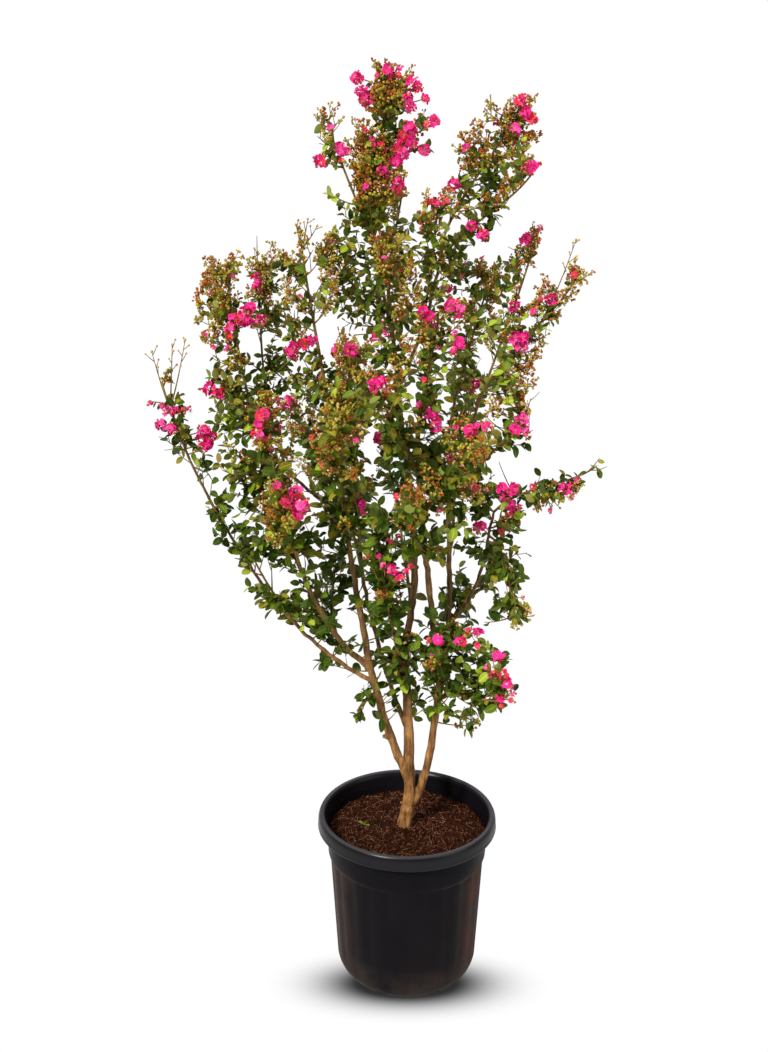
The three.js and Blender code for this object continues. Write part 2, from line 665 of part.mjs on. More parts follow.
const limbs = buildLimbs();
for (const [name, limb] of limbs) addNode(name, limb.body, colours.bark, 0.7);

const masses = massPlan.map((plan) => {
  const stem = massStem(plan, limbs);
  const length = stem.getLength();
  const path = makePath(stem, Math.max(2, Math.round(length / foliage.stemStep)));
  const share = plan.from === 1 ? 1 : foliage.stemShare;
  const thick = limbs.get(plan.limb).radiusAt(plan.from) * share;
  const radiusAt = (t) => thick + (foliage.stemTip - thick) * t;
  const leafScale = THREE.MathUtils.clamp(plan.width / foliage.fullWidth, foliage.smallestLeaf, 1);
  return { ...plan, path, length, radiusAt, leafScale };
});
for (const [index, mass] of masses.entries()) {
  addNode(`mass_${mass.name}`, buildMass(mass, index, masses, limbs), colours.foliage, 0.6);
}

export default tree;
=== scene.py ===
# A crape myrtle in a black nursery pot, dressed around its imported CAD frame. Metres, +Z up.
import math

import bpy
import numpy as np
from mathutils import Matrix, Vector, noise


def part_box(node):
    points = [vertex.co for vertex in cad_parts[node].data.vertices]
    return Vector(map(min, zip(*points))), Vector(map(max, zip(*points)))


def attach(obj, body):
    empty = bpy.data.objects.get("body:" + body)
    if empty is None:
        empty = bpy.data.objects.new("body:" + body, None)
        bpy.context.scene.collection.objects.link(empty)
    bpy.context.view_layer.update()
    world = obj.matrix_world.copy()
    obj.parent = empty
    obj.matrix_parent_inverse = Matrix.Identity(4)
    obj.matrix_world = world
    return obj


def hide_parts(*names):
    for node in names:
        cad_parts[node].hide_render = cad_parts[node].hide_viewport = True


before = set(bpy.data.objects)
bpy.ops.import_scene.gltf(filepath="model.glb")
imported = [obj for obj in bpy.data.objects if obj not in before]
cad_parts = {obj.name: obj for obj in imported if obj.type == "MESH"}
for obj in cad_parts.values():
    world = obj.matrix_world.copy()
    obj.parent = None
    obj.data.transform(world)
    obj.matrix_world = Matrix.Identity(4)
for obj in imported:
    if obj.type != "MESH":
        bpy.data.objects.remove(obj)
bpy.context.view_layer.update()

massNodes = [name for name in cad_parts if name.startswith("mass_")]
limbNodes = [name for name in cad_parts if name.startswith(("trunk", "stem_", "bough_"))]
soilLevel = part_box("soil")[1].z
up = np.array([0, 0, 1.0])
print("frame:", len(massNodes), "masses,", len(limbNodes), "limbs")


# small tools for the whole script

def unit(vector):
    return vector / np.linalg.norm(vector)


def aim(azimuth, elevation):
    turn, lift = math.radians(azimuth), math.radians(elevation)
    return np.array([math.cos(lift) * math.cos(turn), math.cos(lift) * math.sin(turn), math.sin(lift)])


def place(azimuth, reach, height):
    return aim(azimuth, 0) * reach + up * height


def rotated(vector, axis, angle):
    # turned about a unit axis
    return (vector * math.cos(angle) + np.cross(axis, vector) * math.sin(angle)
            + axis * np.dot(axis, vector) * (1 - math.cos(angle)))


def clearSelection():
    if bpy.context.mode != "OBJECT":
        bpy.ops.object.mode_set(mode="OBJECT")
    bpy.ops.object.select_all(action="DESELECT")


def selectOnly(piece):
    clearSelection()
    piece.select_set(True)
    bpy.context.view_layer.objects.active = piece


def applyAll(piece):
    # every modifier on the piece, in order
    selectOnly(piece)
    for modifier in list(piece.modifiers):
        bpy.ops.object.modifier_apply(modifier=modifier.name)


def dress(piece, name, material, replaced=()):
    piece.name = piece.data.name = name
    piece.data.materials.clear()
    piece.data.materials.append(material)
    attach(piece, "root")
    if replaced:
        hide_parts(*replaced)
    triangles = sum(len(face.vertices) - 2 for face in piece.data.polygons)
    print(f"  {name}: {triangles} triangles")


def meshFromArrays(points, triangles, uv=None):
    mesh = bpy.data.meshes.new("piece")
    mesh.vertices.add(len(points))
    mesh.vertices.foreach_set("co", np.asarray(points, np.float32).ravel())
    mesh.loops.add(triangles.size)
    mesh.loops.foreach_set("vertex_index", triangles.astype(np.int32).ravel())
    mesh.polygons.add(len(triangles))
    mesh.polygons.foreach_set("loop_start", np.arange(0, triangles.size, 3, dtype=np.int32))
    if uv is not None:
        layer = mesh.uv_layers.new(name="outline")
        layer.data.foreach_set("uv", np.asarray(uv, np.float32)[triangles.ravel()].ravel())
    mesh.update(calc_edges=True)
    mesh.validate()
    mesh.shade_smooth()
    piece = bpy.data.objects.new("piece", mesh)
    bpy.context.scene.collection.objects.link(piece)
    return piece


# surface effects that several materials share, as node groups

def fillSocket(socket, value):
    # a colour is given as red, green and blue
    socket.default_value = (*value, 1) if socket.type == "RGBA" else value


def put(tree, kind, inputs=None, **settings):
    # a node with its settings, each input given a value or joined to a socket
    node = tree.nodes.new(kind)
    for key, value in settings.items():
        setattr(node, key, value)
    for key, value in (inputs or {}).items():
        if isinstance(value, bpy.types.NodeSocket):
            tree.links.new(value, node.inputs[key])
        else:
            fillSocket(node.inputs[key], value)
    return node


def sums(tree, operation, first, second=0, clamp=False):
    node = put(tree, "ShaderNodeMath", {0: first, 1: second}, operation=operation, use_clamp=clamp)
    return node.outputs[0]


def blended(tree, share, first, second):
    node = put(tree, "ShaderNodeMix", {0: share, 6: first, 7: second}, data_type="RGBA")
    return node.outputs[2]


def ranged(tree, value, low, high, lowResult=0, highResult=1, **settings):
    inputs = {0: value, 1: low, 2: high, 3: lowResult, 4: highResult}
    return put(tree, "ShaderNodeMapRange", inputs, **settings).outputs[0]


def split(tree, vector):
    return put(tree, "ShaderNodeSeparateXYZ", {0: vector}).outputs


def cloudy(tree, vector, scale, detail, roughness=.5):
    node = put(tree, "ShaderNodeTexNoise", {"Vector": vector, "Scale": scale, "Detail": detail,
                                            "Roughness": roughness})
    return node.outputs["Fac"]


def newGroup(name, inputs, outputs):
    group = bpy.data.node_groups.new(name, "ShaderNodeTree")
    for label, kind, value in inputs:
        socket = group.interface.new_socket(label, in_out="INPUT", socket_type="NodeSocket" + kind)
        if value is not None:
            socket.default_value = value
    for label, kind in outputs:
        group.interface.new_socket(label, in_out="OUTPUT", socket_type="NodeSocket" + kind)
    return group, group.nodes.new("NodeGroupInput").outputs, group.nodes.new("NodeGroupOutput").inputs


# two colours in soft patches
mottle, source, result = newGroup(
    "mottle",
    [("Vector", "Vector", None), ("Scale", "Float", 30), ("Detail", "Float", 3), ("Contrast", "Float", 1.6),
     ("Dark", "Color", (0, 0, 0, 1)), ("Light", "Color", (1, 1, 1, 1))],
    [("Color", "Color"), ("Mask", "Float")])
patches = cloudy(mottle, source["Vector"], source["Scale"], source["Detail"], .6)
patches = sums(mottle, "MULTIPLY", sums(mottle, "SUBTRACT", patches, .5), source["Contrast"])
patches = sums(mottle, "ADD", patches, .5, clamp=True)
mottle.links.new(patches, result["Mask"])
mottle.links.new(blended(mottle, patches, source["Dark"], source["Light"]), result["Color"])

# a coarse and a fine unevenness
relief, source, result = newGroup(
    "relief",
    [("Vector", "Vector", None), ("Coarse", "Float", 60), ("Fine", "Float", 300), ("Share", "Float", .4)],
    [("Height", "Float")])
coarse = cloudy(relief, source["Vector"], source["Coarse"], 2)
fine = cloudy(relief, source["Vector"], source["Fine"], 3)
height = sums(relief, "ADD", sums(relief, "MULTIPLY", coarse, sums(relief, "SUBTRACT", 1, source["Share"])),
              sums(relief, "MULTIPLY", fine, source["Share"]))
relief.links.new(height, result["Height"])

# dust that thins out upwards, in patches; on the pot's sides it also carries a painted grazing sheen
dustAndSheen, source, result = newGroup(
    "dustAndSheen",
    [("Color", "Color", None), ("Dust", "Color", (.1, .06, .04, 1)), ("Vector", "Vector", None),
     ("Low", "Float", 0), ("High", "Float", .1), ("Amount", "Float", 1)],
    [("Color", "Color"), ("Mask", "Float")])
fall = ranged(dustAndSheen, split(dustAndSheen, source["Vector"])["Z"], source["Low"], source["High"], 1, 0)
cloud = ranged(dustAndSheen, cloudy(dustAndSheen, source["Vector"], 14, 5), .3, .65)
cover = sums(dustAndSheen, "MULTIPLY", sums(dustAndSheen, "MULTIPLY", fall, cloud), source["Amount"], clamp=True)
dustAndSheen.links.new(cover, result["Mask"])
dustAndSheen.links.new(blended(dustAndSheen, cover, source["Color"], source["Dust"]), result["Color"])


def newMaterial(name, specular, roughness=.5):
    material = bpy.data.materials.new(name)
    material.use_nodes = True
    tree = material.node_tree
    shader = tree.nodes["Principled BSDF"]
    shader.inputs["Specular IOR Level"].default_value = specular
    shader.inputs["Roughness"].default_value = roughness
    return material, tree, shader, put(tree, "ShaderNodeTexCoord").outputs


def feed(tree, shader, sockets):
    for label, socket in sockets.items():
        tree.links.new(socket, shader.inputs[label])


def useGroup(tree, group, **inputs):
    return put(tree, "ShaderNodeGroup", inputs, node_tree=group).outputs


def mottled(tree, vector, patches, dark=(0, 0, 0), light=(1, 1, 1)):
    scale, detail, contrast = patches
    return useGroup(tree, mottle, Vector=vector, Scale=scale, Detail=detail, Contrast=contrast,
                    Dark=dark, Light=light)


def bump(tree, height, depth):
    strength, distance = depth
    inputs = {"Height": height, "Strength": strength, "Distance": distance}
    return put(tree, "ShaderNodeBump", inputs).outputs["Normal"]


def roughened(tree, vector, grain, depth):
    coarse, fine, share = grain
    height = useGroup(tree, relief, Vector=vector, Coarse=coarse, Fine=fine, Share=share)["Height"]
    return bump(tree, height, depth)


def shade(colour, factor, lift=0):
    return tuple(min(1, value * factor + lift) for value in colour)


# patches are (scale, detail, contrast), grain is (coarse, fine, share of the fine) and a depth is
# (strength, distance) of the bump

leafSkin = {
    "specular": .09,
    "patches": (34, 3, 2.2),
    "midrib": (.02, .07),  # from full to nothing, out from the middle of the leaf
    "sideVeins": 7,
    "slant": 3,  # how far the side veins run forward
    "sideVeinEdge": .16,
    "sideVeinShare": .5,
    "pale": (1.7, .02),  # the veins' colour from the leaf's
    "paleShare": .55,
    "roughness": (.58, .42),
    "veinDepth": (.35, .0004),
}


def leafMaterial(name, dark, light, under):
    # veins from the leaf's own outline map, u across and v along
    material, tree, shader, coords = newMaterial(name, leafSkin["specular"])
    tone = mottled(tree, coords["Object"], leafSkin["patches"], dark, light)
    spot = split(tree, coords["UV"])
    aside = sums(tree, "ABSOLUTE", sums(tree, "SUBTRACT", spot["X"], .5))
    rib = ranged(tree, aside, *leafSkin["midrib"], 1, 0)
    rows = sums(tree, "SUBTRACT", sums(tree, "MULTIPLY", spot["Y"], leafSkin["sideVeins"]),
                sums(tree, "MULTIPLY", aside, leafSkin["slant"]))
    side = ranged(tree, sums(tree, "FRACT", rows), 0, leafSkin["sideVeinEdge"],
                  leafSkin["sideVeinShare"], 0)
    vein = sums(tree, "MAXIMUM", rib, side)
    face = blended(tree, sums(tree, "MULTIPLY", vein, leafSkin["paleShare"]), tone["Color"],
                   shade(light, *leafSkin["pale"]))
    back = put(tree, "ShaderNodeNewGeometry").outputs["Backfacing"]
    feed(tree, shader, {
        "Base Color": blended(tree, back, face, under),
        "Roughness": ranged(tree, tone["Mask"], 0, 1, *leafSkin["roughness"]),
        "Normal": bump(tree, sums(tree, "SUBTRACT", 1, vein), leafSkin["veinDepth"])})
    return material


petalSkin = {
    "patches": (90, 3, 2.4),
    "throat": (.1, .45),  # the pale claw fades out along here
    "throatShare": .3,
    "pale": (.5, .45),
    "creases": (260, 700, .4),
    "creaseDepth": (.6, .0009),
}


def petalMaterial(name, dark, light):
    # paler towards the claw, with fine creases
    material, tree, shader, coords = newMaterial(name, .05, .65)
    tone = mottled(tree, coords["Object"], petalSkin["patches"], dark, light)
    throat = ranged(tree, split(tree, coords["UV"])["Y"], *petalSkin["throat"], petalSkin["throatShare"], 0)
    feed(tree, shader, {
        "Base Color": blended(tree, throat, tone["Color"], shade(light, *petalSkin["pale"])),
        "Normal": roughened(tree, coords["Object"], petalSkin["creases"], petalSkin["creaseDepth"])})
    return material


budSkin = {
    "patches": (150, 2, 2.6),
    "ribs": 18.85,  # six seams round a bud
    "ribDepth": (.4, .0005),
}


def budMaterial(name, dark, light):
    material, tree, shader, coords = newMaterial(name, .1, .55)
    tone = mottled(tree, coords["Object"], budSkin["patches"], dark, light)
    around = sums(tree, "MULTIPLY", split(tree, coords["UV"])["X"], budSkin["ribs"])
    rib = sums(tree, "ABSOLUTE", sums(tree, "SINE", around))
    feed(tree, shader, {"Base Color": tone["Color"], "Normal": bump(tree, rib, budSkin["ribDepth"])})
    return material


barkLook = {
    "stretch": (1, 1, .16),  # streaks run up the stems
    "lower": (120, 6, 3.2),
    "upper": (150, 6, 2.6),
    "wearAndPaintedHighlight": (26, 4, 3.4),
    "wornShare": .62,
    "wornTone": .6,
    "roughness": (.55, .75),
    "ridges": (170, 520, .5),
    "ridgeDepth": (.6, .0008),
}


def barkMaterial(name, dark, light, highDark, highLight, heights):
    # the lower wood is warmer and paler than the upper
    material, tree, shader, coords = newMaterial(name, .1)
    stretched = put(tree, "ShaderNodeMapping", {"Vector": coords["Object"],
                                                "Scale": barkLook["stretch"]}).outputs[0]
    lower = mottled(tree, stretched, barkLook["lower"], dark, light)
    upper = mottled(tree, stretched, barkLook["upper"], highDark, highLight)
    share = ranged(tree, split(tree, coords["Object"])["Z"], *heights)
    wood = blended(tree, share, lower["Color"], upper["Color"])
    patch = mottled(tree, coords["Object"], barkLook["wearAndPaintedHighlight"])["Mask"]
    feed(tree, shader, {
        "Base Color": blended(tree, sums(tree, "MULTIPLY", patch, barkLook["wornShare"]), wood,
                              shade(dark, barkLook["wornTone"])),
        "Roughness": ranged(tree, patch, 0, 1, *barkLook["roughness"]),
        "Normal": roughened(tree, stretched, barkLook["ridges"], barkLook["ridgeDepth"])})
    return material


def plainMaterial(name, dark, light, scale, roughness, bumpHeight):
    # crumbs, fibres and other small rough things
    material, tree, shader, coords = newMaterial(name, .05, roughness)
    tone = mottled(tree, coords["Object"], (scale, 4, 2.4), dark, light)
    rough = roughened(tree, coords["Object"], (scale * 2, scale * 7, .5), (.8, bumpHeight))
    feed(tree, shader, {"Base Color": tone["Color"], "Normal": rough})
    return material


# dark, light and, on leaves, the underside
# the dark, mid and bright tints are partly the leaves' own tones, partly painted shade and painted light
leafColours = {
    "dark": ((.018, .04, .0015), (.056, .1, .005), (.065, .095, .012)),
    "mid": ((.058, .105, .004), (.155, .22, .013), (.15, .19, .03)),
    "bright": ((.19, .28, .012), (.38, .46, .045), (.32, .37, .08)),
    "olive": ((.12, .115, .005), (.3, .26, .025), (.22, .2, .04)),
}
petalColours = {
    "magenta": ((.8, .018, .19), (.95, .045, .36)),
    "pink": ((.88, .04, .27), (.97, .13, .45)),
    "coral": ((.78, .025, .075), (.93, .075, .17)),
}
budColours = {
    "olive": ((.19, .15, .006), (.56, .46, .06)),
    "rust": ((.24, .055, .006), (.54, .2, .036)),
    "dry": ((.32, .18, .025), (.74, .5, .16)),
}
leafMaterials = {tint: leafMaterial("leaf" + tint.title(), *tones) for tint, tones in leafColours.items()}
petalMaterials = {tint: petalMaterial("petal" + tint.title(), *tones)
                  for tint, tones in petalColours.items()}
budMaterials = {kind: budMaterial("bud" + kind.title(), *tones) for kind, tones in budColours.items()}
barkSkin = barkMaterial("bark", (.08, .027, .008), (.53, .262, .088),
                        (.07, .042, .015), (.36, .22, .085), (.42, .95))
youngBark = barkMaterial("youngBark", (.13, .065, .016), (.38, .22, .06),
                         (.1, .065, .014), (.3, .2, .05), (.6, 1.3))
greenWood = plainMaterial("greenWood", (.1, .08, .012), (.28, .18, .04), 80, .6, .0003)
stalkSkin = plainMaterial("stalk", (.16, .11, .016), (.42, .26, .06), 120, .6, .0002)
stamenSkin = plainMaterial("stamen", (.8, .36, .01), (.95, .66, .05), 300, .6, .0001)
print("materials:", len(bpy.data.materials))


# the growth rule of the solids, written again in metres

growth = {
    "limbStep": .075,  # straight lengths that a limb's children start from
    "stemStep": .085,
    "lead": .35,
    "tail": .3,
    "pull": 1.2,  # how strongly a child turns to its goal as it leaves
    "rise": .6,  # how strongly a limb turns up at its end
    "stemRise": .5,
    "stemDroop": .3,
    "stemTip": .0018,
    "stemShare": .8,
    "trunkFoot": (-.008, 0, -.012),  # from the middle of the mix's surface
    "trackPoints": 15,
    "turn": 137.5,  # degrees round a stem from one shoot to the next
    "tries": (1, .7, .45),  # the shares of its length that a shoot is tried at
    "overshoot": .01,  # how far foliage may pass the tip of its stem
    "limbClearance": .003,
    "spaceMargin": .05,
}

# name, parent, where on it, end as (azimuth, reach, height), radii at both ends, heading, own lead
limbPlan = [
    ("trunk", None, 0, (0, .005, .392), (.0155, .015), (0, 78)),
    ("stem_middle", "trunk", 1, (100, .03, .76), (.013, .0085), None),
    ("stem_right", "trunk", .8, (0, .071, .67), (.0095, .0075), (0, 34), .18),
    ("stem_left", "stem_middle", .12, (208, .095, .742), (.01, .0075), (205, 66)),
    ("bough_left_inner", "stem_left", 1, (203, .151, 1.131), (.007, .0045), None),
    ("bough_left", "stem_left", .94, (207, .263, 1.004), (.0065, .004), (208, 36)),
    ("bough_sweep", "stem_left", .82, (193, .445, 1.177), (.0045, .0026), (197, 30)),
    ("bough_left_upper", "bough_left_inner", .8, (186, .301, 1.208), (.0042, .003), (175, 30)),
    ("bough_back_left", "stem_middle", .42, (129, .181, .949), (.006, .004), (150, 62)),
    ("bough_middle", "stem_middle", 1, (114, .055, 1.342), (.008, .005), (20, 74)),
    ("bough_leader", "bough_middle", 1, (158, .081, 1.62), (.0046, .003), None),
    ("bough_top_right", "bough_middle", .95, (40, .095, 1.62), (.0042, .003), (20, 58)),
    ("bough_right_inner", "stem_right", 1, (276, .121, 1.209), (.0072, .005), (190, 83)),
    ("bough_right_outer", "stem_right", .94, (34, .107, 1.068), (.007, .005), (30, 74)),
    ("bough_right_upper", "bough_right_outer", 1, (8, .145, 1.286), (.0046, .003), None),
    ("bough_right_side", "bough_right_outer", .35, (350, .178, 1.059), (.0042, .0028), (345, 40)),
    ("bough_right_back", "bough_right_outer", .7, (62, .205, 1.207), (.0042, .003), (70, 40)),
    ("bough_back", "bough_middle", .12, (95, .2, 1.01), (.0042, .003), (95, 40)),
]

# name, limb, where on the limb, tip, width of its own space, blooms as (azimuth, reach, height, radius)
massPlan = [
    ("far_left", "bough_sweep", 1, (194, .494, 1.343), .085, (193, .515, 1.292, .009),
     (194, .481, 1.275, .013), (194, .493, 1.286, .006), (195, .453, 1.277, .009), (194, .499, 1.248, .011),
     (195, .478, 1.24, .011), (197, .417, 1.236, .014), (197, .403, 1.227, .01), (197, .413, 1.211, .015),
     (195, .467, 1.275, .009), (195, .443, 1.277, .006), (196, .425, 1.224, .011),
     (197, .417, 1.201, .009)),
    ("left_top", "bough_left_upper", 1, (188, .363, 1.556), .1, (193, .325, 1.461, .017),
     (194, .299, 1.446, .013), (192, .351, 1.452, .01), (192, .358, 1.431, .01), (192, .356, 1.412, .009),
     (189, .402, 1.315, .013), (189, .383, 1.305, .014), (193, .327, 1.448, .014), (193, .342, 1.446, .012),
     (194, .319, 1.471, .01), (192, .36, 1.414, .009), (189, .414, 1.311, .008), (190, .378, 1.3, .008)),
    ("left_front", "bough_left", 1, (215, .346, 1.293), .11, (219, .349, 1.276, .014),
     (218, .359, 1.243, .013), (218, .356, 1.26, .011)),
    ("left_hanging", "bough_sweep", .36, (203, .345, 1.01), .08),
    ("left_spike", "bough_left_upper", .6, (163, .333, 1.567), .08, (171, .314, 1.53, .011),
     (171, .318, 1.514, .011), (197, .243, 1.389, .015), (197, .24, 1.374, .009), (199, .219, 1.401, .013),
     (200, .202, 1.405, .009), (200, .206, 1.409, .011), (197, .234, 1.378, .009)),
    ("inner_upper", "bough_left_inner", 1, (185, .217, 1.615), .105),
    ("inner_front", "bough_left", .8, (228, .362, 1.174), .11, (231, .337, 1.142, .016),
     (230, .345, 1.123, .017), (233, .331, 1.118, .016), (232, .336, 1.101, .01)),
    ("centre_left", "bough_left_inner", .88, (231, .181, 1.4), .105, (237, .202, 1.391, .014)),
    ("front_left", "bough_left_inner", .55, (245, .33, 1.278), .11, (241, .195, 1.106, .01),
     (242, .193, 1.091, .009)),
    ("top_centre", "bough_leader", 1, (141, .048, 1.918), .095, (186, .103, 1.896, .012),
     (186, .096, 1.873, .01), (187, .086, 1.859, .015), (193, .045, 1.91, .013), (202, .027, 1.9, .009),
     (280, .01, 1.889, .01), (323, .017, 1.88, .011), (240, .011, 1.859, .014), (271, .01, 1.843, .01),
     (341, .03, 1.859, .01), (347, .046, 1.821, .009), (342, .033, 1.812, .006), (272, .01, 1.805, .018),
     (273, .01, 1.782, .015), (202, .026, 1.773, .012), (339, .028, 1.769, .011), (199, .03, 1.747, .013),
     (202, .08, 1.785, .008), (208, .065, 1.774, .009), (200, .059, 1.729, .01), (202, .026, 1.701, .015),
     (203, .025, 1.915, .009), (211, .019, 1.758, .012), (348, .047, 1.818, .01), (214, .018, 1.793, .011),
     (202, .078, 1.774, .008), (198, .096, 1.8, .007)),
    ("top_left", "bough_leader", .8, (180, .165, 1.838), .055, (182, .135, 1.77, .013),
     (182, .133, 1.75, .006), (182, .176, 1.748, .013), (182, .125, 1.765, .009)),
    ("upper_middle", "bough_leader", .3, (174, .19, 1.6), .09),
    ("core", "bough_middle", .9, (238, .094, 1.594), .105),
    ("middle_upper", "bough_top_right", .3, (335, .06, 1.68), .08, (301, .062, 1.668, .009),
     (313, .073, 1.664, .008), (308, .068, 1.668, .009)),
    ("top_right", "bough_top_right", 1, (10, .226, 1.872), .07, (3, .212, 1.859, .01),
     (3, .219, 1.869, .008), (3, .222, 1.841, .01), (3, .238, 1.828, .01), (3, .204, 1.808, .011),
     (16, .091, 1.708, .015), (13, .112, 1.779, .007)),
    ("top_right_side", "bough_top_right", .8, (348, .242, 1.728), .07, (340, .238, 1.725, .013),
     (339, .223, 1.721, .006), (358, .122, 1.628, .013), (358, .142, 1.611, .013)),
    ("right_upper", "bough_right_upper", .75, (13, .269, 1.631), .075, (7, .236, 1.608, .012),
     (7, .263, 1.629, .007), (4, .212, 1.473, .013)),
    ("right_tip", "bough_right_upper", 1, (353, .333, 1.538), .068, (351, .323, 1.532, .008),
     (352, .279, 1.487, .013), (351, .258, 1.487, .007), (355, .21, 1.412, .015), (355, .224, 1.396, .014),
     (355, .231, 1.412, .01)),
    ("right_inner", "bough_right_inner", 1, (289, .159, 1.473), .11, (292, .192, 1.47, .014),
     (296, .198, 1.461, .011), (276, .179, 1.461, .011), (280, .181, 1.452, .01), (294, .195, 1.422, .009),
     (296, .199, 1.404, .01), (293, .194, 1.391, .008), (283, .161, 1.274, .013), (287, .164, 1.254, .015),
     (277, .167, 1.336, .008), (275, .161, 1.29, .007), (301, .152, 1.189, .012), (294, .197, 1.475, .009),
     (302, .154, 1.176, .01), (302, .153, 1.197, .009)),
    ("centre_front", "bough_right_inner", .85, (256, .278, 1.342), .11, (257, .302, 1.336, .014),
     (259, .299, 1.34, .012), (261, .298, 1.324, .009)),
    ("front_right", "bough_right_inner", .68, (291, .288, 1.245), .105, (288, .315, 1.257, .012),
     (293, .324, 1.263, .011), (288, .316, 1.245, .009), (290, .32, 1.263, .008)),
    ("front_middle", "bough_right_inner", .5, (264, .28, 1.139), .105),
    ("right", "bough_right_outer", .93, (326, .27, 1.289), .105, (324, .261, 1.263, .012),
     (322, .249, 1.244, .012), (325, .265, 1.244, .009)),
    ("far_right", "bough_right_side", 1, (357, .393, 1.16), .062, (353, .321, 1.111, .014),
     (351, .256, 1.115, .008), (351, .272, 1.12, .007), (352, .295, 1.065, .006), (348, .194, 1.109, .012),
     (349, .216, 1.107, .016), (348, .197, 1.091, .01), (349, .217, 1.074, .011), (349, .214, 1.057, .009),
     (350, .232, 1.072, .008), (339, .112, 1.103, .009), (343, .137, 1.113, .01)),
    ("right_hanging", "bough_right_side", .8, (331, .245, .85), .075, (339, .155, 1.033, .012),
     (344, .194, 1.024, .007)),
    ("right_low", "stem_right", .88, (329, .235, .687), .08, (324, .223, .782, .014),
     (327, .193, .748, .006), (329, .202, .731, .011), (326, .232, .741, .012), (327, .241, .721, .01),
     (328, .247, .704, .009), (328, .246, .687, .009), (327, .221, .685, .01), (328, .224, .669, .007)),
    ("low_centre", "stem_right", .7, (309, .103, .798), .075, (290, .117, .809, .009),
     (298, .125, .809, .01), (314, .154, .807, .012), (318, .164, .83, .008), (322, .178, .826, .011),
     (322, .177, .798, .008)),
    ("low_left", "stem_left", .72, (210, .135, .623), .058),
    ("middle_low", "stem_middle", .62, (248, .13, .917), .09, (237, .158, .989, .006),
     (245, .146, .991, .006), (249, .143, .972, .009), (255, .138, .964, .011), (261, .135, .948, .01),
     (266, .133, .96, .007), (271, .133, .97, .008), (256, .137, 1.043, .008), (260, .135, 1.031, .008),
     (253, .139, 1.023, .006)),
    ("left_low", "bough_left", .35, (159, .17, .934), .08),
    ("back_left", "bough_back_left", 1, (131, .42, 1.263), .12, (131, .43, 1.255, .022),
     (138, .41, 1.2, .016)),
    ("back_middle", "bough_back_left", .78, (111, .342, 1.428), .12, (100, .355, 1.42, .022),
     (118, .35, 1.38, .016)),
    ("back_top", "bough_leader", .4, (92, .2, 1.765), .105, (106, .2, 1.758, .026)),
    ("back_right", "bough_right_back", .8, (64, .379, 1.31), .115, (64, .375, 1.302, .025)),
    ("back_upper", "bough_right_back", 1, (51, .3, 1.57), .105, (66, .31, 1.56, .018),
     (72, .3, 1.52, .015)),
    ("back_low", "bough_back", 1, (100, .33, 1.18), .11, (100, .328, 1.172, .024)),
    ("back_right_low", "bough_right_outer", .3, (49, .34, .9), .09, (49, .334, .9, .024)),
]


def seeded(seed):
    # the same repeatable run of numbers from 0 to 1 as in the source
    state, most = seed, 0xFFFFFFFF

    def draw():
        nonlocal state
        state = (state + 0x6D2B79F5) & most
        mixed = ((state ^ (state >> 15)) * (state | 1)) & most
        mixed ^= (mixed + (((mixed ^ (mixed >> 7)) * (mixed | 61)) & most)) & most
        return (mixed ^ (mixed >> 14)) / (most + 1)
    return draw


class Bend:
    # a cubic bend, with the row of straight lengths that its solid is built from

    def __init__(self, start, heading, end, finish, lead, step, fewest):
        span = np.linalg.norm(end - start)
        self.corners = np.array([start, start + heading * span * lead,
                                 end - finish * span * growth["tail"], end])
        fine = self.curve(np.linspace(0, 1, 201))
        self.length = np.linalg.norm(np.diff(fine, axis=0), axis=1).sum()
        self.steps = max(fewest, int(self.length / step + .5))
        self.knots = self.curve(np.linspace(0, 1, self.steps + 1))
        self.track = np.array([self.point(t) for t in np.linspace(0, 1, growth["trackPoints"])])

    def curve(self, t):
        t = np.asarray(t)[..., None]
        a, b, c, d = self.corners
        return a * (1 - t) ** 3 + 3 * b * t * (1 - t) ** 2 + 3 * c * t * t * (1 - t) + d * t ** 3

    def point(self, t):
        index = min(self.steps - 1, int(t * self.steps))
        return self.knots[index] + (self.knots[index + 1] - self.knots[index]) * (t * self.steps - index)

    def tangent(self, t):
        a, b, c, d = self.corners
        return unit((b - a) * (1 - t) ** 2 + 2 * (c - b) * t * (1 - t) + (d - c) * t * t)


def leaving(parent, t, end):
    return unit(parent.tangent(t) + unit(end - parent.point(t)) * growth["pull"])


limbs = {}
for name, parent, t, to, radii, heading, *lead in limbPlan:
    end = place(*to)
    if parent:
        start = limbs[parent]["bend"].point(t)
        direction = aim(*heading) if heading else leaving(limbs[parent]["bend"], t, end)
    else:
        start = np.array([0, 0, soilLevel]) + growth["trunkFoot"]
        direction = aim(*heading)
    finish = unit(unit(end - start) + up * growth["rise"])
    lead = lead[0] if lead else growth["lead"]
    bend = Bend(start, direction, end, finish, lead, growth["limbStep"], 4)
    limbs[name] = {"bend": bend, "radii": radii, "t": t}

masses = []
for name, limb, t, tip, width, *blooms in massPlan:
    parent, end = limbs[limb]["bend"], place(*tip)
    start = parent.point(t)
    chord = unit(end - start)
    finish = unit(chord + up * (growth["stemRise"] if chord[2] > 0 else -growth["stemDroop"]))
    bend = Bend(start, leaving(parent, t, end), end, finish, growth["lead"], growth["stemStep"], 2)
    near, far = limbs[limb]["radii"]
    thick = (near + (far - near) * t) * (1 if t == 1 else growth["stemShare"])
    masses.append({"name": name, "bend": bend, "width": width, "thick": thick, "blooms": blooms})

massTracks = np.array([mass["bend"].track for mass in masses])
massWidths = np.array([mass["width"] for mass in masses])
limbTracks = np.array([limb["bend"].track for limb in limbs.values()])
limbKeepOut = np.array([limb["radii"][0] for limb in limbs.values()]) + growth["limbClearance"]


def distances(points, tracks):
    # from each point to each track, shape (points, tracks)
    start, step = tracks[:, :-1], np.diff(tracks, axis=1)
    offset = points[:, None, None] - start
    share = np.clip((offset * step).sum(-1) / (step * step).sum(-1), 0, 1)
    return np.linalg.norm(offset - step * share[..., None], axis=-1).min(-1)


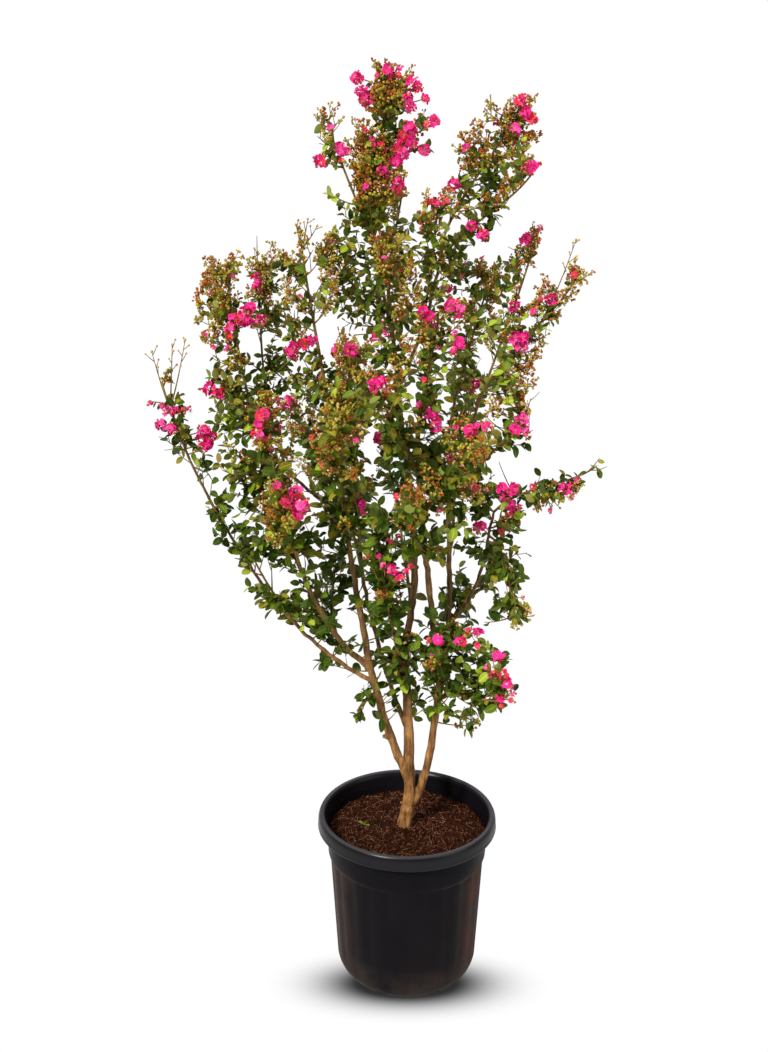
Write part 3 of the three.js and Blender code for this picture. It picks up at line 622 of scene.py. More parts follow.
def ownsPoints(index, points, margin=growth["spaceMargin"]):
    # which points lie in the mass's own space, clear of all other masses and limbs
    mass = masses[index]
    nearness = distances(points, massTracks) / massWidths
    own = nearness[:, index].copy()
    nearness[:, index] = 9
    past = (points - mass["bend"].point(1)) @ mass["bend"].tangent(1)
    clear = (distances(points, limbTracks) > limbKeepOut).all(axis=1)
    return (own <= 1) & (past <= growth["overshoot"]) & (nearness.min(axis=1) >= own + margin) & clear


def roundStem(tangent, turn, i):
    # sideways from a stem, turned round it by degrees, and on for each shoot
    return rotated(unit(np.cross(tangent, up)), tangent, math.radians(turn + growth["turn"] * i))


twigs = {
    "seed": 11,
    "spacing": .08,
    "fewest": 4,
    "run": (.12, .86),  # where on the stem they begin, and their share of it
    "jitter": (.3, .7),
    "lift": (30, 55),  # degrees towards the stem's tip
    "reach": (.4, .65),  # share of the mass's width
    "swell": (.75, .35),  # at the ends of the stem, and how much more in its middle
    "rise": .12,
}


def sourceTwigs(index):
    # the twigs that the solids have, from the same draws
    mass, random, found = masses[index], seeded(index + twigs["seed"]), []
    pick = lambda low, high: low + (high - low) * random()
    bend = mass["bend"]
    count = max(twigs["fewest"], int(bend.length / twigs["spacing"] + .5))
    firstTurn = random() * 360
    first, run = twigs["run"]
    slim, swell = twigs["swell"]
    for i in range(count):
        along = first + run * (i + pick(*twigs["jitter"])) / count
        start, tangent = bend.point(along), bend.tangent(along)
        side = roundStem(tangent, firstTurn, i)
        lift = math.radians(pick(*twigs["lift"]))
        reach = mass["width"] * pick(*twigs["reach"]) * (slim + swell * math.sin(math.pi * along))
        direction = side * math.cos(lift) + tangent * math.sin(lift) + up * twigs["rise"]
        for share in growth["tries"]:
            end = start + direction * reach * share
            if ownsPoints(index, start + (end - start) * np.array([[.5], [.75], [1]])).all():
                found.append((along, start, end))
                break
    return found


print("growth rule: limbs", len(limbs), "masses", len(masses))


# finer growth inside each mass: side shoots, leaf pairs, panicles of buds and open flowers

foliage = {
    "seed": 7,
    "spurSeed": 500,
    "spraySeed": 907,
    "stemShoots": .0195,  # along a stem from one side shoot to the next
    "stemRun": (.05, .9),  # as for twigs
    "shootLift": (32, 66),  # degrees towards the stem's tip
    "shootLength": (.045, .1),
    "shootBow": (.1, .35),
    "twigShoots": (.28, .5, .72),
    "twigShootLength": (.03, .06),
    "sag": .08,
    "hanging": .9,  # how strongly the shoots of a hanging mass turn down
    "radii": (.0018, .0014, .0011),  # of a twig, a stem's shoot and a twig's shoot at the foot
    "tipShare": .45,
    "crownShare": (.4, .08),  # of a stem's end that flowers: the most of it, and the most in metres
    "floweringAt": (.25, .62, 1),  # how many shoots flower at these places on a mass's stem
    "flowering": (.12, .62, .95),
    "underFlowers": (.4, .85),  # on a flowering shoot, how far its leaves go and their size
    "stemEnd": .014,  # foliage stops this far before a stem's tip
    "slimness": (.75, .1),  # least size of what a mass carries, and the width for full size
    "bloomStalk": (.0016, .001),
    "spurGap": .036,  # along a limb from one leafy spur to the next
    "spurFoot": .6,  # no spurs on a limb below this height
    "spursFrom": .06,
    "spurLength": (.02, .045),
    "spurLeaves": (.25, 1.05),
    "spurRadii": (.0012, .0006),
    "sprayGap": .02,  # the same for the sprays of the low left boughs
    "spraysFrom": .3,
    "sprayLength": (.025, .06),
}
leaf = {
    "gap": .0155,  # along a shoot from one pair to the next
    "length": (.023, .036),
    "taper": (1.08, .3),  # leaves get smaller towards the shoot's tip
    "spread": (38, 78),  # degrees off the shoot
    "jitter": .35,  # radians that a pair strays from a quarter turn past the last
    "missing": .07,
    "droop": .15,
    "hangingDroop": .6,
    "skyward": .7,  # how far the blades turn to the sky
    "scatter": .4,
    "sameTint": .5,  # share of the leaves that keep their shoot's tint
    "heights": (.85, 1.35),  # between these, sizes and tints go from the first to the second
    "sizes": (1.07, .84),
    # more dark tints low down and more bright ones high up: painted shade low in the crown, painted light
    # higher
    "tints": {"dark": (.68, .31), "mid": (.24, .29), "bright": (.03, .1), "olive": (.05, .3)},
}
panicle = {
    "width": (.008, .018),
    "gap": .0078,
    "jitter": .4,
    "lean": (.3, .9),  # how far its branches lean forwards
    "rise": .25,
    "taper": (.55, 1.5),  # share and power by which they shorten towards its tip
    "branch": (.6, 1.25),
    "tip": .004,
    "buds": (3, 6),
    "budSize": (.0019, .0034),
    "budShrink": .2,
    "budReach": (.0025, .0072),
    "stalk": (.00075, .0005),
    "budStalk": (.0005, .0004),
    "floretTints": (.55, .2, .25),
    "floretSize": (.4, .65),
    "from": (.2, .45),  # where on a shoot it begins
    "opened": (.04, .03),  # share of branches with a floret, at a stem's tip and on shoots
}
flower = {
    "petals": 6,
    "petal": .0128,
    "petalSize": (.75, 1.15),
    "petalLift": (-.1, .8),
    "petalJitter": .2,
    "scatter": .4,
    "smallBelow": .0095,  # heads under this radius are small and mostly of the last tint
    "smallTints": (.3, .15, .55),
    "tints": (.7, .22, .08),
    "strayTints": (.6, .25, .15),
    "sameTint": .65,
    "fullness": (.0105, 2.8),
    "stretch": (.65, 1.2),
    "inset": .0072,
    "leastSpread": .0025,
    "floretSize": (.6, 1),
    "smallShare": .6,
    "stamenShare": .6,
    "stamens": (.005, .008),
    "bud": .003,
}

budKinds, petalTints = list(budColours), list(petalColours)
# shares of olive and rust buds (the rest are dry), how freely the mass flowers, how long its shoots are
habits = {
    "usual": (.48, .36, 1, 1),
    "far_left": (.2, .2, .25, .5),
    "left_top": (.55, .34, 1.3, 1),
    "left_spike": (.3, .15, .9, .8),
    "left_hanging": (.4, .3, 0, .8),
    "left_low": (.5, .2, 0, 1),
    "low_left": (.4, .2, 0, .6),
    "inner_upper": (.47, .2, .85, .85),
    "inner_front": (.38, .5, .8, 1),
    "upper_middle": (.6, .12, 1.1, .85),
    "top_centre": (.5, .45, 1.6, 1),
    "top_left": (.6, .3, .35, .45),
    "bough_leader": (.42, .48, 1, 1),
    "top_right": (.4, .5, 1.5, 1),
    "top_right_side": (.4, .45, .8, .55),
    "core": (.5, .36, 1.2, 1),
    "right_upper": (.35, .5, .9, .6),
    "right_tip": (.35, .45, .9, .6),
    "right_inner": (.25, .33, 1.1, 1),
    "right": (.32, .4, 1, .9),
    "far_right": (.25, .25, .3, .35),
    "right_hanging": (.3, .1, .35, .9),
    "right_low": (.3, .4, .3, .9),
    "low_centre": (.3, .45, .2, 1),
    "middle_low": (.25, .6, .3, 1),
    "front_middle": (.38, .5, .6, 1),
    "back_top": (.56, .26, .8, .8),
    "back_low": (.4, .3, .5, 1),
    "back_right_low": (.4, .3, .25, 1),
}
hangingMasses = ("right_hanging",)
lowBoughs = ("bough_sweep", "bough_left")

# sprays set one by one: what they grow from, what they carry, their tips as (azimuth, reach, height)
sprays = [
    ("left_top", "knobs", (186, .422, 1.485), (186, .418, 1.447), (187, .405, 1.513), (187, .388, 1.533),
     (188, .361, 1.544), (186, .415, 1.468)),
    ("left_top", "panicle", (186, .411, 1.412)),
    ("left_top", "leaves", (186, .395, 1.373), (185, .389, 1.334), (185, .379, 1.298)),
    ("left_front", "leaves", (211, .39, 1.298), (210, .382, 1.257), (207, .392, 1.204), (207, .373, 1.168),
     (205, .376, 1.123), (205, .351, 1.09), (209, .415, 1.282), (209, .406, 1.261), (210, .39, 1.276),
     (206, .398, 1.168), (206, .37, 1.152)),
    ("bough_left", "leaves", (201, .338, 1.04), (202, .314, 1.004), (205, .276, .966), (208, .214, .89),
     (208, .18, .83), (203, .282, .936), (211, .231, 1.003), (212, .228, 1.04)),
    ("left_spike", "leaves", (172, .246, 1.371), (176, .258, 1.327), (167, .277, 1.452), (164, .268, 1.476),
     (166, .254, 1.446), (164, .297, 1.517)),
    ("left_spike", "dry", (161, .298, 1.575)),
    ("left_spike", "panicle", (160, .277, 1.566), (165, .286, 1.476)),
    ("left_spike", "bare", (163, .33, 1.619)),
    ("inner_upper", "leaves", (191, .227, 1.346), (192, .218, 1.306), (188, .232, 1.451),
     (191, .237, 1.328), (187, .183, 1.556), (190, .164, 1.516)),
    ("inner_upper", "panicle", (186, .25, 1.505), (186, .196, 1.577)),
    ("inner_upper", "dry", (185, .224, 1.628), (185, .201, 1.639), (186, .183, 1.626)),
    ("top_left", "leaves", (174, .157, 1.69), (171, .137, 1.653)),
    ("top_left", "sprig", (180, .184, 1.829), (180, .15, 1.847), (179, .138, 1.826), (179, .15, 1.806),
     (179, .181, 1.795)),
    ("upper_middle", "leaves", (170, .133, 1.608), (166, .111, 1.581), (167, .149, 1.475),
     (164, .135, 1.444), (168, .146, 1.503), (169, .13, 1.59), (164, .099, 1.593)),
    ("bough_leader", "leaves", (164, .121, 1.554)),
    ("bough_leader", "panicle", (180, .104, 1.8), (180, .114, 1.769), (180, .106, 1.74), (193, .09, 1.766),
     (189, .06, 1.802), (202, .052, 1.758), (193, .085, 1.726), (193, .043, 1.72)),
    ("top_centre", "panicle", (163, .099, 1.804), (41, .046, 1.815), (190, .054, 1.871), (189, .068, 1.848),
     (199, .03, 1.863), (194, .039, 1.886), (179, .013, 1.881), (180, .063, 1.89)),
    ("top_centre", "knobs", (164, .107, 1.778)),
    ("top_centre", "leaves", (47, .04, 1.782), (153, .067, 1.654), (19, .091, 1.562)),
    ("bough_top_right", "leaves", (32, .113, 1.595), (28, .132, 1.564), (35, .107, 1.544)),
    ("top_right_side", "leaves", (29, .124, 1.54), (346, .208, 1.751), (349, .212, 1.722),
     (351, .197, 1.704), (353, .188, 1.683), (356, .185, 1.666), (0, .167, 1.649), (2, .166, 1.627),
     (21, .12, 1.586)),
    ("core", "panicle", (277, .054, 1.532)),
    ("core", "leaves", (286, .041, 1.5)),
    ("top_right", "panicle", (10, .237, 1.839), (12, .224, 1.774), (26, .115, 1.799), (26, .118, 1.775),
     (25, .124, 1.745), (20, .139, 1.813), (16, .159, 1.847)),
    ("top_right", "knobs", (10, .241, 1.803)),
    ("top_right", "leaves", (17, .18, 1.729), (15, .193, 1.74), (15, .2, 1.71), (17, .185, 1.684)),
    ("top_right", "dry", (22, .128, 1.811), (15, .159, 1.858)),
    ("right_tip", "panicle", (2, .211, 1.327), (360, .233, 1.352), (353, .268, 1.518), (355, .255, 1.482),
     (357, .269, 1.398), (360, .248, 1.344), (1, .251, 1.315)),
    ("right_tip", "knobs", (358, .256, 1.372)),
    ("right_tip", "leaves", (356, .271, 1.431), (355, .283, 1.462)),
    ("right_tip", "whip", (353, .323, 1.598)),
    ("right_tip", "dry", (356, .279, 1.42)),
    ("bough_right_side", "panicle", (346, .125, 1.114), (352, .208, 1.042)),
    ("bough_right_side", "leaves", (348, .153, 1.11), (347, .142, 1.068), (352, .236, 1.059),
     (352, .222, 1.038)),
    ("far_right", "leaves", (352, .215, 1.068), (355, .297, 1.09)),
    ("far_right", "panicle", (354, .272, 1.08), (355, .309, 1.086), (356, .346, 1.108)),
    ("far_right", "dry", (355, .314, 1.067)),
    ("far_right", "bare", (350, .186, 1.164)),
    ("middle_low", "leaves", (248, .13, .975), (248, .13, 1.006), (239, .14, 1.077), (241, .138, 1.045)),
    ("bough_sweep", "leaves", (199, .238, .876), (202, .186, .812), (203, .147, .755), (199, .234, .838),
     (205, .145, .787), (194, .4, 1.076), (194, .376, 1.039), (195, .354, 1.003), (195, .322, .97),
     (196, .3, .921), (197, .264, .889), (199, .225, .862), (200, .193, .821), (201, .163, .783),
     (198, .277, .937), (202, .133, .741), (202, .118, .7)),
    ("bough_sweep", "shoot", (195, .374, 1.104), (193, .409, 1.09), (194, .397, 1.059), (194, .366, .993),
     (195, .324, .918), (196, .311, .89), (200, .183, .753)),
    ("right_low", "leaves", (343, .12, .756), (338, .158, .738), (337, .185, .778), (327, .221, .77),
     (333, .152, .625), (341, .155, .789), (333, .147, .61)),
    ("low_centre", "panicle", (326, .143, .816)),
    ("low_centre", "leaves", (324, .112, .749), (284, .081, .793), (297, .076, .761), (307, .1, .848),
     (334, .102, .701), (326, .144, .842)),
    ("low_centre", "knobs", (359, .156, .577)),
    ("far_left", "leaves", (192, .489, 1.217), (193, .454, 1.221)),
    ("far_left", "whip", (195, .469, 1.4), (194, .507, 1.387), (196, .445, 1.409)),
    ("right", "leaves", (344, .283, 1.114), (312, .203, 1.446)),
    ("right", "dry", (320, .227, 1.302), (325, .175, 1.267)),
    ("right", "panicle", (321, .195, 1.287), (326, .272, 1.302), (331, .268, 1.239)),
    ("stem_left", "leaves", (194, .182, .737)),
    ("right_upper", "panicle", (14, .231, 1.587)),
    ("right_upper", "leaves", (14, .217, 1.559), (14, .207, 1.53)),
    ("right_inner", "leaves", (287, .128, 1.221), (292, .13, 1.198), (295, .143, 1.278), (296, .138, 1.239),
     (311, .159, 1.073), (314, .166, 1.035)),
    ("right_inner", "panicle", (310, .157, 1.121), (319, .182, 1.101), (315, .17, 1.137),
     (294, .131, 1.077)),
    ("stem_middle", "leaves", (153, .038, .611), (41, .029, .624), (24, .041, .606)),
    ("front_left", "leaves", (202, .196, .991), (208, .16, 1.004)),
    ("right_hanging", "leaves", (349, .12, .987), (337, .179, .967), (336, .213, .939), (330, .205, .891),
     (323, .19, .848), (348, .217, 1.025), (342, .231, .984)),
    ("right_hanging", "dry", (334, .227, .907), (335, .259, .877), (335, .274, .862)),
    ("right_hanging", "shoot", (339, .244, .94), (332, .212, .897)),
    ("right_hanging", "knobs", (335, .265, .869)),
    ("stem_left", "bare", (225, .046, .653), (237, .035, .635), (220, .053, .667), (227, .037, .616)),
    ("front_left", "leaves", (246, .366, 1.262)),
    ("front_left", "panicle", (247, .372, 1.295), (243, .366, 1.24)),
    ("centre_front", "leaves", (254, .352, 1.31)),
    ("front_middle", "leaves", (267, .35, 1.13)),
    ("front_middle", "panicle", (271, .352, 1.15)),
    ("front_right", "panicle", (287, .362, 1.24)),
]

# openings through the crown, seen from in front: their radius, and centres (x, z) on the plane y = 0
openings = {
    .038: [(-.349, .818)],
    .035: [(-.396, .913), (.254, 1.695), (.339, 1.451), (.28, 1.238)],
    .034: [(-.275, .751)],
    .031: [(-.173, 1.416), (.188, 1.605)],
    .029: [(-.157, .618)],
    .028: [(-.45, .992)],
    .026: [(.215, 1.138), (.314, 1.172), (-.533, 1.332), (-.447, 1.332), (-.312, .923), (.371, 1.193),
        (.262, 1.287)],
    .024: [(.015, 1.718), (.292, 1.54), (-.159, .686), (-.243, 1.602), (-.458, 1.072)],
    .022: [(.171, 1.874), (-.28, .899), (-.122, .665), (-.091, .559), (.341, 1.163), (.271, 1.205),
        (.355, 1.18)],
    .02: [(.273, 1.594), (-.322, 1.412), (.095, .562), (.233, .599), (.209, 1.677), (-.51, 1.17),
        (-.514, 1.303), (.24, 1.531), (.392, 1.19), (.099, .564)],
    .018: [(.348, 1.56), (-.195, 1.515), (.147, .921), (.157, .861), (.245, 1.128), (.179, 1.157),
        (.304, 1.56), (.38, 1.517), (-.126, 1.721), (-.122, 1.688), (0, 1.669), (.032, 1.747),
        (-.31, 1.404), (-.184, 1.443), (-.47, 1.138), (-.436, 1.102), (-.424, 1.548), (.222, 1.895),
        (.325, 1.163), (.205, .578), (.164, 1.358), (.188, .777)],
    .016: [(-.136, .725)],
    .015: [(-.078, 1.906), (-.038, .766), (.061, .923), (.205, .805), (.284, 1.142), (-.168, 1.624),
        (-.165, 1.384), (.093, .938), (.203, .883), (.231, 1.494), (-.136, 1.824), (-.137, 1.795),
        (-.198, 1.579), (-.195, 1.548), (-.08, 1.195), (-.081, 1.142)],
    .014: [(.253, 1.877)],
    .013: [(-.337, 1.517), (-.102, 1.418), (-.037, 1.079), (.047, .883), (.025, .949), (-.007, 1.745),
        (-.007, 1.71), (-.183, 1.668), (-.17, .973), (-.115, .614)],
    .012: [(.118, .618), (.028, .604), (.083, .632)],
    .011: [(-.23, .949)],
    .01: [(.072, .598)],
}
sight = {
    "from": (-.05, -1.9, 1.43),
    "headClear": .08,  # nothing grows this far in front of a flower head
    "frontFacing": (-.25, -.9, .4),  # the way that heads on the front half face
    "backRise": .1,
    "backFrom": .1,
}
seenFrom = np.array(sight["from"])
openCentres = np.array([centre for centres in openings.values() for centre in centres])
openRadii = np.array([radius for radius, centres in openings.items() for centre in centres])

# all flower heads and the ways they face, where nothing grows across them
heads = np.array([(*place(*head[:3]), head[3]) for mass in masses for head in mass["blooms"]])
headsFace = np.array([unit(np.array(sight["frontFacing"] if y < sight["backFrom"]
                                    else (x, y, sight["backRise"])))
                      for x, y, z, radius in heads])

leafSpots = {tint: [] for tint in leaf["tints"]}
budSpots = {kind: [] for kind in budKinds}
petalSpots = {tint: [] for tint in petalTints}
stamenSpots, woodTubes, greenTubes, stalkTubes = [], [], [], []
tintNames = list(leaf["tints"])
tintShares = np.array(list(leaf["tints"].values()))


def shootPath(start, direction, length, bow):
    # leaves along direction and bends upwards by bow
    t = np.linspace(0, 1, 5)[:, None]
    return start + direction * length * t + up * bow * length * t * t


def runAlong(path):
    # the length of a path up to each of its points
    return np.concatenate([[0], np.cumsum(np.linalg.norm(np.diff(path, axis=0), axis=1))])


def onPath(path, lengths, run):
    spot = np.array([np.interp(run, lengths, path[:, axis]) for axis in range(3)])
    near = min(max(int(np.searchsorted(lengths, run)), 1), len(path) - 1)
    return spot, unit(path[near] - path[near - 1])


def sideOf(along):
    return unit(np.cross(along, up + np.array([.01, .02, 0])))


def keptClear(points):
    # whether a point lies in an opening or in front of a flower head
    points = np.atleast_2d(points)
    away = points - seenFrom
    flat = (seenFrom - away * (seenFrom[1] / away[:, 1])[:, None])[:, [0, 2]]
    if (np.linalg.norm(flat[:, None] - openCentres, axis=-1) < openRadii).any():
        return True
    offset = points[:, None] - heads[:, :3]
    run = np.clip((offset * headsFace).sum(axis=-1), 0, sight["headClear"])[..., None]
    return (np.linalg.norm(offset - run * headsFace, axis=-1) < heads[:, 3]).any()


def pickTint(height, random):
    # darker low down, more olive and bright higher up: partly painted shade in the low crown and painted
    # light on the high one
    share = np.interp(height, leaf["heights"], (0, 1))
    return random.choice(tintNames, p=tintShares[:, 0] * (1 - share) + tintShares[:, 1] * share)


def addBud(kind, spot, away, random, radius):
    budSpots[kind].append((spot, away, random.normal(0, 1, 3), radius))


def addLeaves(index, path, first, last, size, tint, random, droop=leaf["droop"]):
    # opposite pairs, each turned a quarter from the one before
    lengths = runAlong(path)
    total, quarter = lengths[-1], random.uniform(0, math.pi)
    count = int(total * (last - first) / leaf["gap"] + random.uniform(.3, 1.1))
    foot, taper = leaf["taper"]
    for pair in range(count):
        share = first + (last - first) * (pair + .6) / count
        root, along = onPath(path, lengths, share * total)
        turn = quarter + pair * math.pi / 2 + random.uniform(-leaf["jitter"], leaf["jitter"])
        side = rotated(sideOf(along), along, turn)
        grown = np.interp(root[2], leaf["heights"], leaf["sizes"])
        for hand in (1, -1):
            if random.random() < leaf["missing"]:
                continue
            spread = math.radians(random.uniform(*leaf["spread"]))
            length = size * grown * random.uniform(*leaf["length"]) * (foot - taper * share)
            forward = unit(along * math.cos(spread) + side * hand * math.sin(spread)
                           - up * random.uniform(0, 2.5 * droop))
            flat = np.cross(along, side) * (1 if random.random() < .5 else -1)
            face = unit(flat * (1 - abs(flat[2])) + up * leaf["skyward"]
                        + random.normal(0, leaf["scatter"], 3))
            if keptClear(root + forward * length * np.array([[.5], [1]])):
                continue
            if index is not None:
                mass, tip = masses[index], root + forward * length
                reach = distances(tip[None], massTracks[index:index + 1])[0, 0]
                past = (tip - mass["bend"].point(1)) @ mass["bend"].tangent(1)
                if reach > mass["width"] or past > growth["overshoot"]:
                    continue
            chosen = tint if random.random() < leaf["sameTint"] else pickTint(root[2], random)
            leafSpots[chosen].append((root, forward, face, length))


def addFloret(centre, facing, tint, size, random):
    # six clawed petals round a tuft of stamens
    side = unit(np.cross(facing, up + random.normal(0, .3, 3)))
    first, jitter = random.uniform(0, math.pi), flower["petalJitter"]
    for petal in range(flower["petals"]):
        turn = first + petal * math.pi * 2 / flower["petals"] + random.uniform(-jitter, jitter)
        forward = unit(rotated(side, facing, turn) + facing * random.uniform(*flower["petalLift"]))
        length = flower["petal"] * size * random.uniform(*flower["petalSize"])
        face = unit(facing + random.normal(0, flower["scatter"], 3))
        petalSpots[tint].append((centre, forward, face, length))


def addPanicle(path, first, width, mixture, random, opened):
    # side branches along the last part of a path, each ending in a few round buds
    lengths = runAlong(path)
    total = lengths[-1]
    turn, jitter = random.uniform(0, math.pi), panicle["jitter"]
    count = max(2, int(total * (1 - first) / panicle["gap"]))
    taper, power = panicle["taper"]
    for i in range(count + 1):
        share = first + (1 - first) * i / count
        root, along = onPath(path, lengths, share * total)
        side = rotated(sideOf(along), along, turn + i * math.pi / 2 + random.uniform(-jitter, jitter))
        for hand in (1, -1) if i < count else (0,):
            out, reach = along, panicle["tip"]
            if hand:
                out = unit(along * random.uniform(*panicle["lean"]) + side * hand + up * panicle["rise"])
                reach = width * (1 - taper * (i / count) ** power) * random.uniform(*panicle["branch"])
            tip = root + out * reach
            if keptClear(tip):
                continue
            kind = random.choice(budKinds, p=mixture)
            bent = root + out * reach * .55 + up * .001
            stalkTubes.append((np.array([root, bent, tip]), panicle["stalk"]))
            for bud in range(random.integers(*panicle["buds"])):
                radius = random.uniform(*panicle["budSize"]) * (1 - panicle["budShrink"] * i / count)
                away = unit(out + random.normal(0, .75, 3))
                centre = tip + away * random.uniform(*panicle["budReach"])
                foot = root + (tip - root) * random.uniform(.5, 1)
                stalkTubes.append((np.array([foot, centre - away * radius * .6]), panicle["budStalk"]))
                addBud(kind, centre, away, random, radius)
            if random.random() < opened:
                tint = random.choice(petalTints, p=panicle["floretTints"])
                addFloret(tip + out * .005, out, tint, random.uniform(*panicle["floretSize"]), random)


def addBloom(centre, radius, random):
    # a crinkled, uneven head of open flowers that face outwards, with a few buds under it
    small = radius < flower["smallBelow"]
    main = random.choice(petalTints, p=flower["smallTints" if small else "tints"])
    unitRadius, florets = flower["fullness"]
    count = max(2, round((radius / unitRadius) ** 2 * florets))
    stretch = random.uniform(*flower["stretch"], 3)
    first = random.uniform(0, 2 * math.pi)
    for i in range(count):
        height = 1 - 2 * (i + .5) / count
        around = first + i * 2.4
        flat = math.sqrt(1 - height * height)
        out = np.array([flat * math.cos(around), flat * math.sin(around), height])
        spread = max(radius - flower["inset"], flower["leastSpread"])
        spot = centre + out * stretch * spread * random.uniform(.5, 1.3)
        facing = unit(out + up * .2 + random.normal(0, .35, 3))
        tint = main
        if random.random() >= flower["sameTint"]:
            tint = random.choice(petalTints, p=flower["strayTints"])
        size = random.uniform(*flower["floretSize"]) * (flower["smallShare"] if small else 1)
        addFloret(spot, facing, tint, size, random)
        if random.random() < flower["stamenShare"]:
            side = unit(np.cross(facing, up + np.array([.1, .2, 0])))
            stamenSpots.append((spot, facing, side, random.uniform(*flower["stamens"])))
        if i % 2:
            away = unit(random.normal(0, 1, 3) - up * .6)
            addBud("rust", centre + away * radius, away, random, flower["bud"])


def habitOf(name):
    olive, rust, freely, reach = habits.get(name, habits["usual"])
    return (olive, rust, 1 - olive - rust), freely, reach


def trialShoot(index, root, heading, lengths, random):
    # the longest of three tries that stays in the mass's own space
    name = masses[index]["name"]
    length = random.uniform(*lengths) * habitOf(name)[2]
    bow = random.uniform(*foliage["shootBow"])
    if name in hangingMasses:
        heading, bow = unit(heading - up * foliage["hanging"]), -bow
    for share in growth["tries"]:
        shoot = shootPath(root, heading, length * share, bow)
        if ownsPoints(index, shoot[[2, 3, 4]], 0).all() and not keptClear(shoot[2:]):
            return shoot
    return None


def growMass(index):
    mass, bend = masses[index], masses[index]["bend"]
    random = np.random.default_rng(foliage["seed"] + index)
    mixture, freely, reach = habitOf(mass["name"])
    least, fullWidth = foliage["slimness"]
    slim = min(1, max(least, mass["width"] / fullWidth))
    path = bend.curve(np.linspace(0, 1 - foliage["stemEnd"] / bend.length, 15))
    woodTubes.append((path, (mass["thick"], growth["stemTip"])))
    tint = pickTint(path[7][2], random)
    share, most = foliage["crownShare"]
    top = min(share, most / bend.length) * min(1, freely + .2)
    addLeaves(index, path, .1, 1 - top, slim, tint, random)
    if freely > .3:
        addPanicle(path, 1 - top, random.uniform(*panicle["width"]), mixture, random, panicle["opened"][0])

    shoots = []
    twigRadius, stemShootRadius, twigShootRadius = foliage["radii"]
    for along, start, end in sourceTwigs(index):
        if keptClear(end):
            continue
        chord = end - start
        sag = (start + end) / 2 - up * np.linalg.norm(chord) * foliage["sag"]
        t = np.linspace(0, 1, 5)[:, None]
        shoots.append((along, start * (1 - t) ** 2 + sag * 2 * t * (1 - t) + end * t * t, twigRadius))
        for share in foliage["twigShoots"]:
            heading = unit(unit(chord) + random.normal(0, .55, 3) + up * .4)
            shoot = trialShoot(index, start + chord * share, heading, foliage["twigShootLength"], random)
            shoots.append((along, shoot, twigShootRadius))
    count = int(bend.length * .92 / foliage["stemShoots"])
    turn = random.uniform(0, 360)
    first, run = foliage["stemRun"]
    for i in range(count):
        along = first + run * (i + random.uniform(.2, .8)) / count
        tangent = bend.tangent(along)
        lift = math.radians(random.uniform(*foliage["shootLift"]))
        heading = roundStem(tangent, turn, i) * math.cos(lift) + tangent * math.sin(lift)
        shoot = trialShoot(index, bend.curve(along), heading, foliage["shootLength"], random)
        shoots.append((along, shoot, stemShootRadius))

    for along, shoot, radius in shoots:
        if shoot is None:
            continue
        greenTubes.append((shoot, (radius, radius * foliage["tipShare"])))
        chance = np.interp(along, foliage["floweringAt"], foliage["flowering"]) * freely
        flowering = random.random() < chance
        tint = pickTint(shoot[2][2], random)
        droop = leaf["hangingDroop" if mass["name"] in hangingMasses else "droop"]
        last, size = foliage["underFlowers"] if flowering else (1, 1)
        addLeaves(index, shoot, .12, last, slim * size, tint, random, droop)
        if flowering:
            width = random.uniform(*panicle["width"]) * slim
            begin = random.uniform(*panicle["from"])
            addPanicle(shoot, begin, width, mixture, random, panicle["opened"][1])

    for *spot, radius in mass["blooms"]:
        centre = place(*spot)
        nearest = path[np.argmin(np.linalg.norm(path - centre, axis=1) + (path[:, 2] > centre[2]) * .025)]
        stalk = shootPath(nearest, unit(centre - nearest + up * .001), np.linalg.norm(centre - nearest), 0)
        greenTubes.append((stalk, foliage["bloomStalk"]))
        addLeaves(index, stalk, .1, .8, slim * .8, tint, random)
        addBloom(centre, radius, random)


def growSpurs(name):
    # short leafy shoots straight from the wood, longer and denser over the low left boughs
    bend = limbs[name]["bend"]
    random = np.random.default_rng(foliage["spurSeed"] + len(name) + int(limbs[name]["t"] * 100))
    low = name in lowBoughs
    gap = foliage["sprayGap" if low else "spurGap"]
    turn = random.uniform(0, 360)
    for i in range(int(bend.length / gap)):
        along = (i + random.uniform(.2, .9)) * gap / bend.length
        root, tangent = bend.curve(min(along, 1)), bend.tangent(min(along, 1))
        if root[2] < foliage["spurFoot"] or along < foliage["spraysFrom" if low else "spursFrom"]:
            continue
        side = roundStem(tangent, turn, i)
        heading = unit(side + tangent * random.uniform(.2, .7) + up * .2)
        lengths, bow = foliage["spurLength"], .2
        if low:
            heading = unit(side * .8 + tangent * .5 + up * random.uniform(.2, .9))
            lengths, bow = foliage["sprayLength"], .1
        shoot = shootPath(root, heading, random.uniform(*lengths), bow)
        if (distances(shoot[3:], limbTracks) < limbKeepOut).any() or keptClear(shoot[2:]):
            continue
        greenTubes.append((shoot, foliage["spurRadii"]))
        addLeaves(None, shoot, *foliage["spurLeaves"], 1, pickTint(root[2], random), random)


spray = {
    "foot": (.04, .93),  # the part of a stem that it may grow from
    "whipFoot": .6,
    "rise": .25,
    "radii": (.0018, .0007),
    "leaves": .95,
    "panicle": (.5, .011, .018),  # from where, narrowest and widest
    "twigLean": (.4, .9),
    "twigBow": .15,
    "twigRadii": (.001, .0006),
    "twigLeaves": (.3, 1.1, .9),
    "twigPanicle": (.35, .008, .013),
    "knob": (.004, .009),
    "dryBud": (.0018, .003),
}
# its side twigs: where they begin along it, from one to the next, shortest and longest
sideTwigs = {
    "leaves": (.2, .017, .02, .036),
    "panicle": (.35, .022, .02, .034),
    "knobs": (.4, .012, .01, .018),
    "sprig": (.35, .012, .01, .02),
    "dry": (.45, .014, .012, .024),
    "whip": (.55, .011, .008, .02),
}
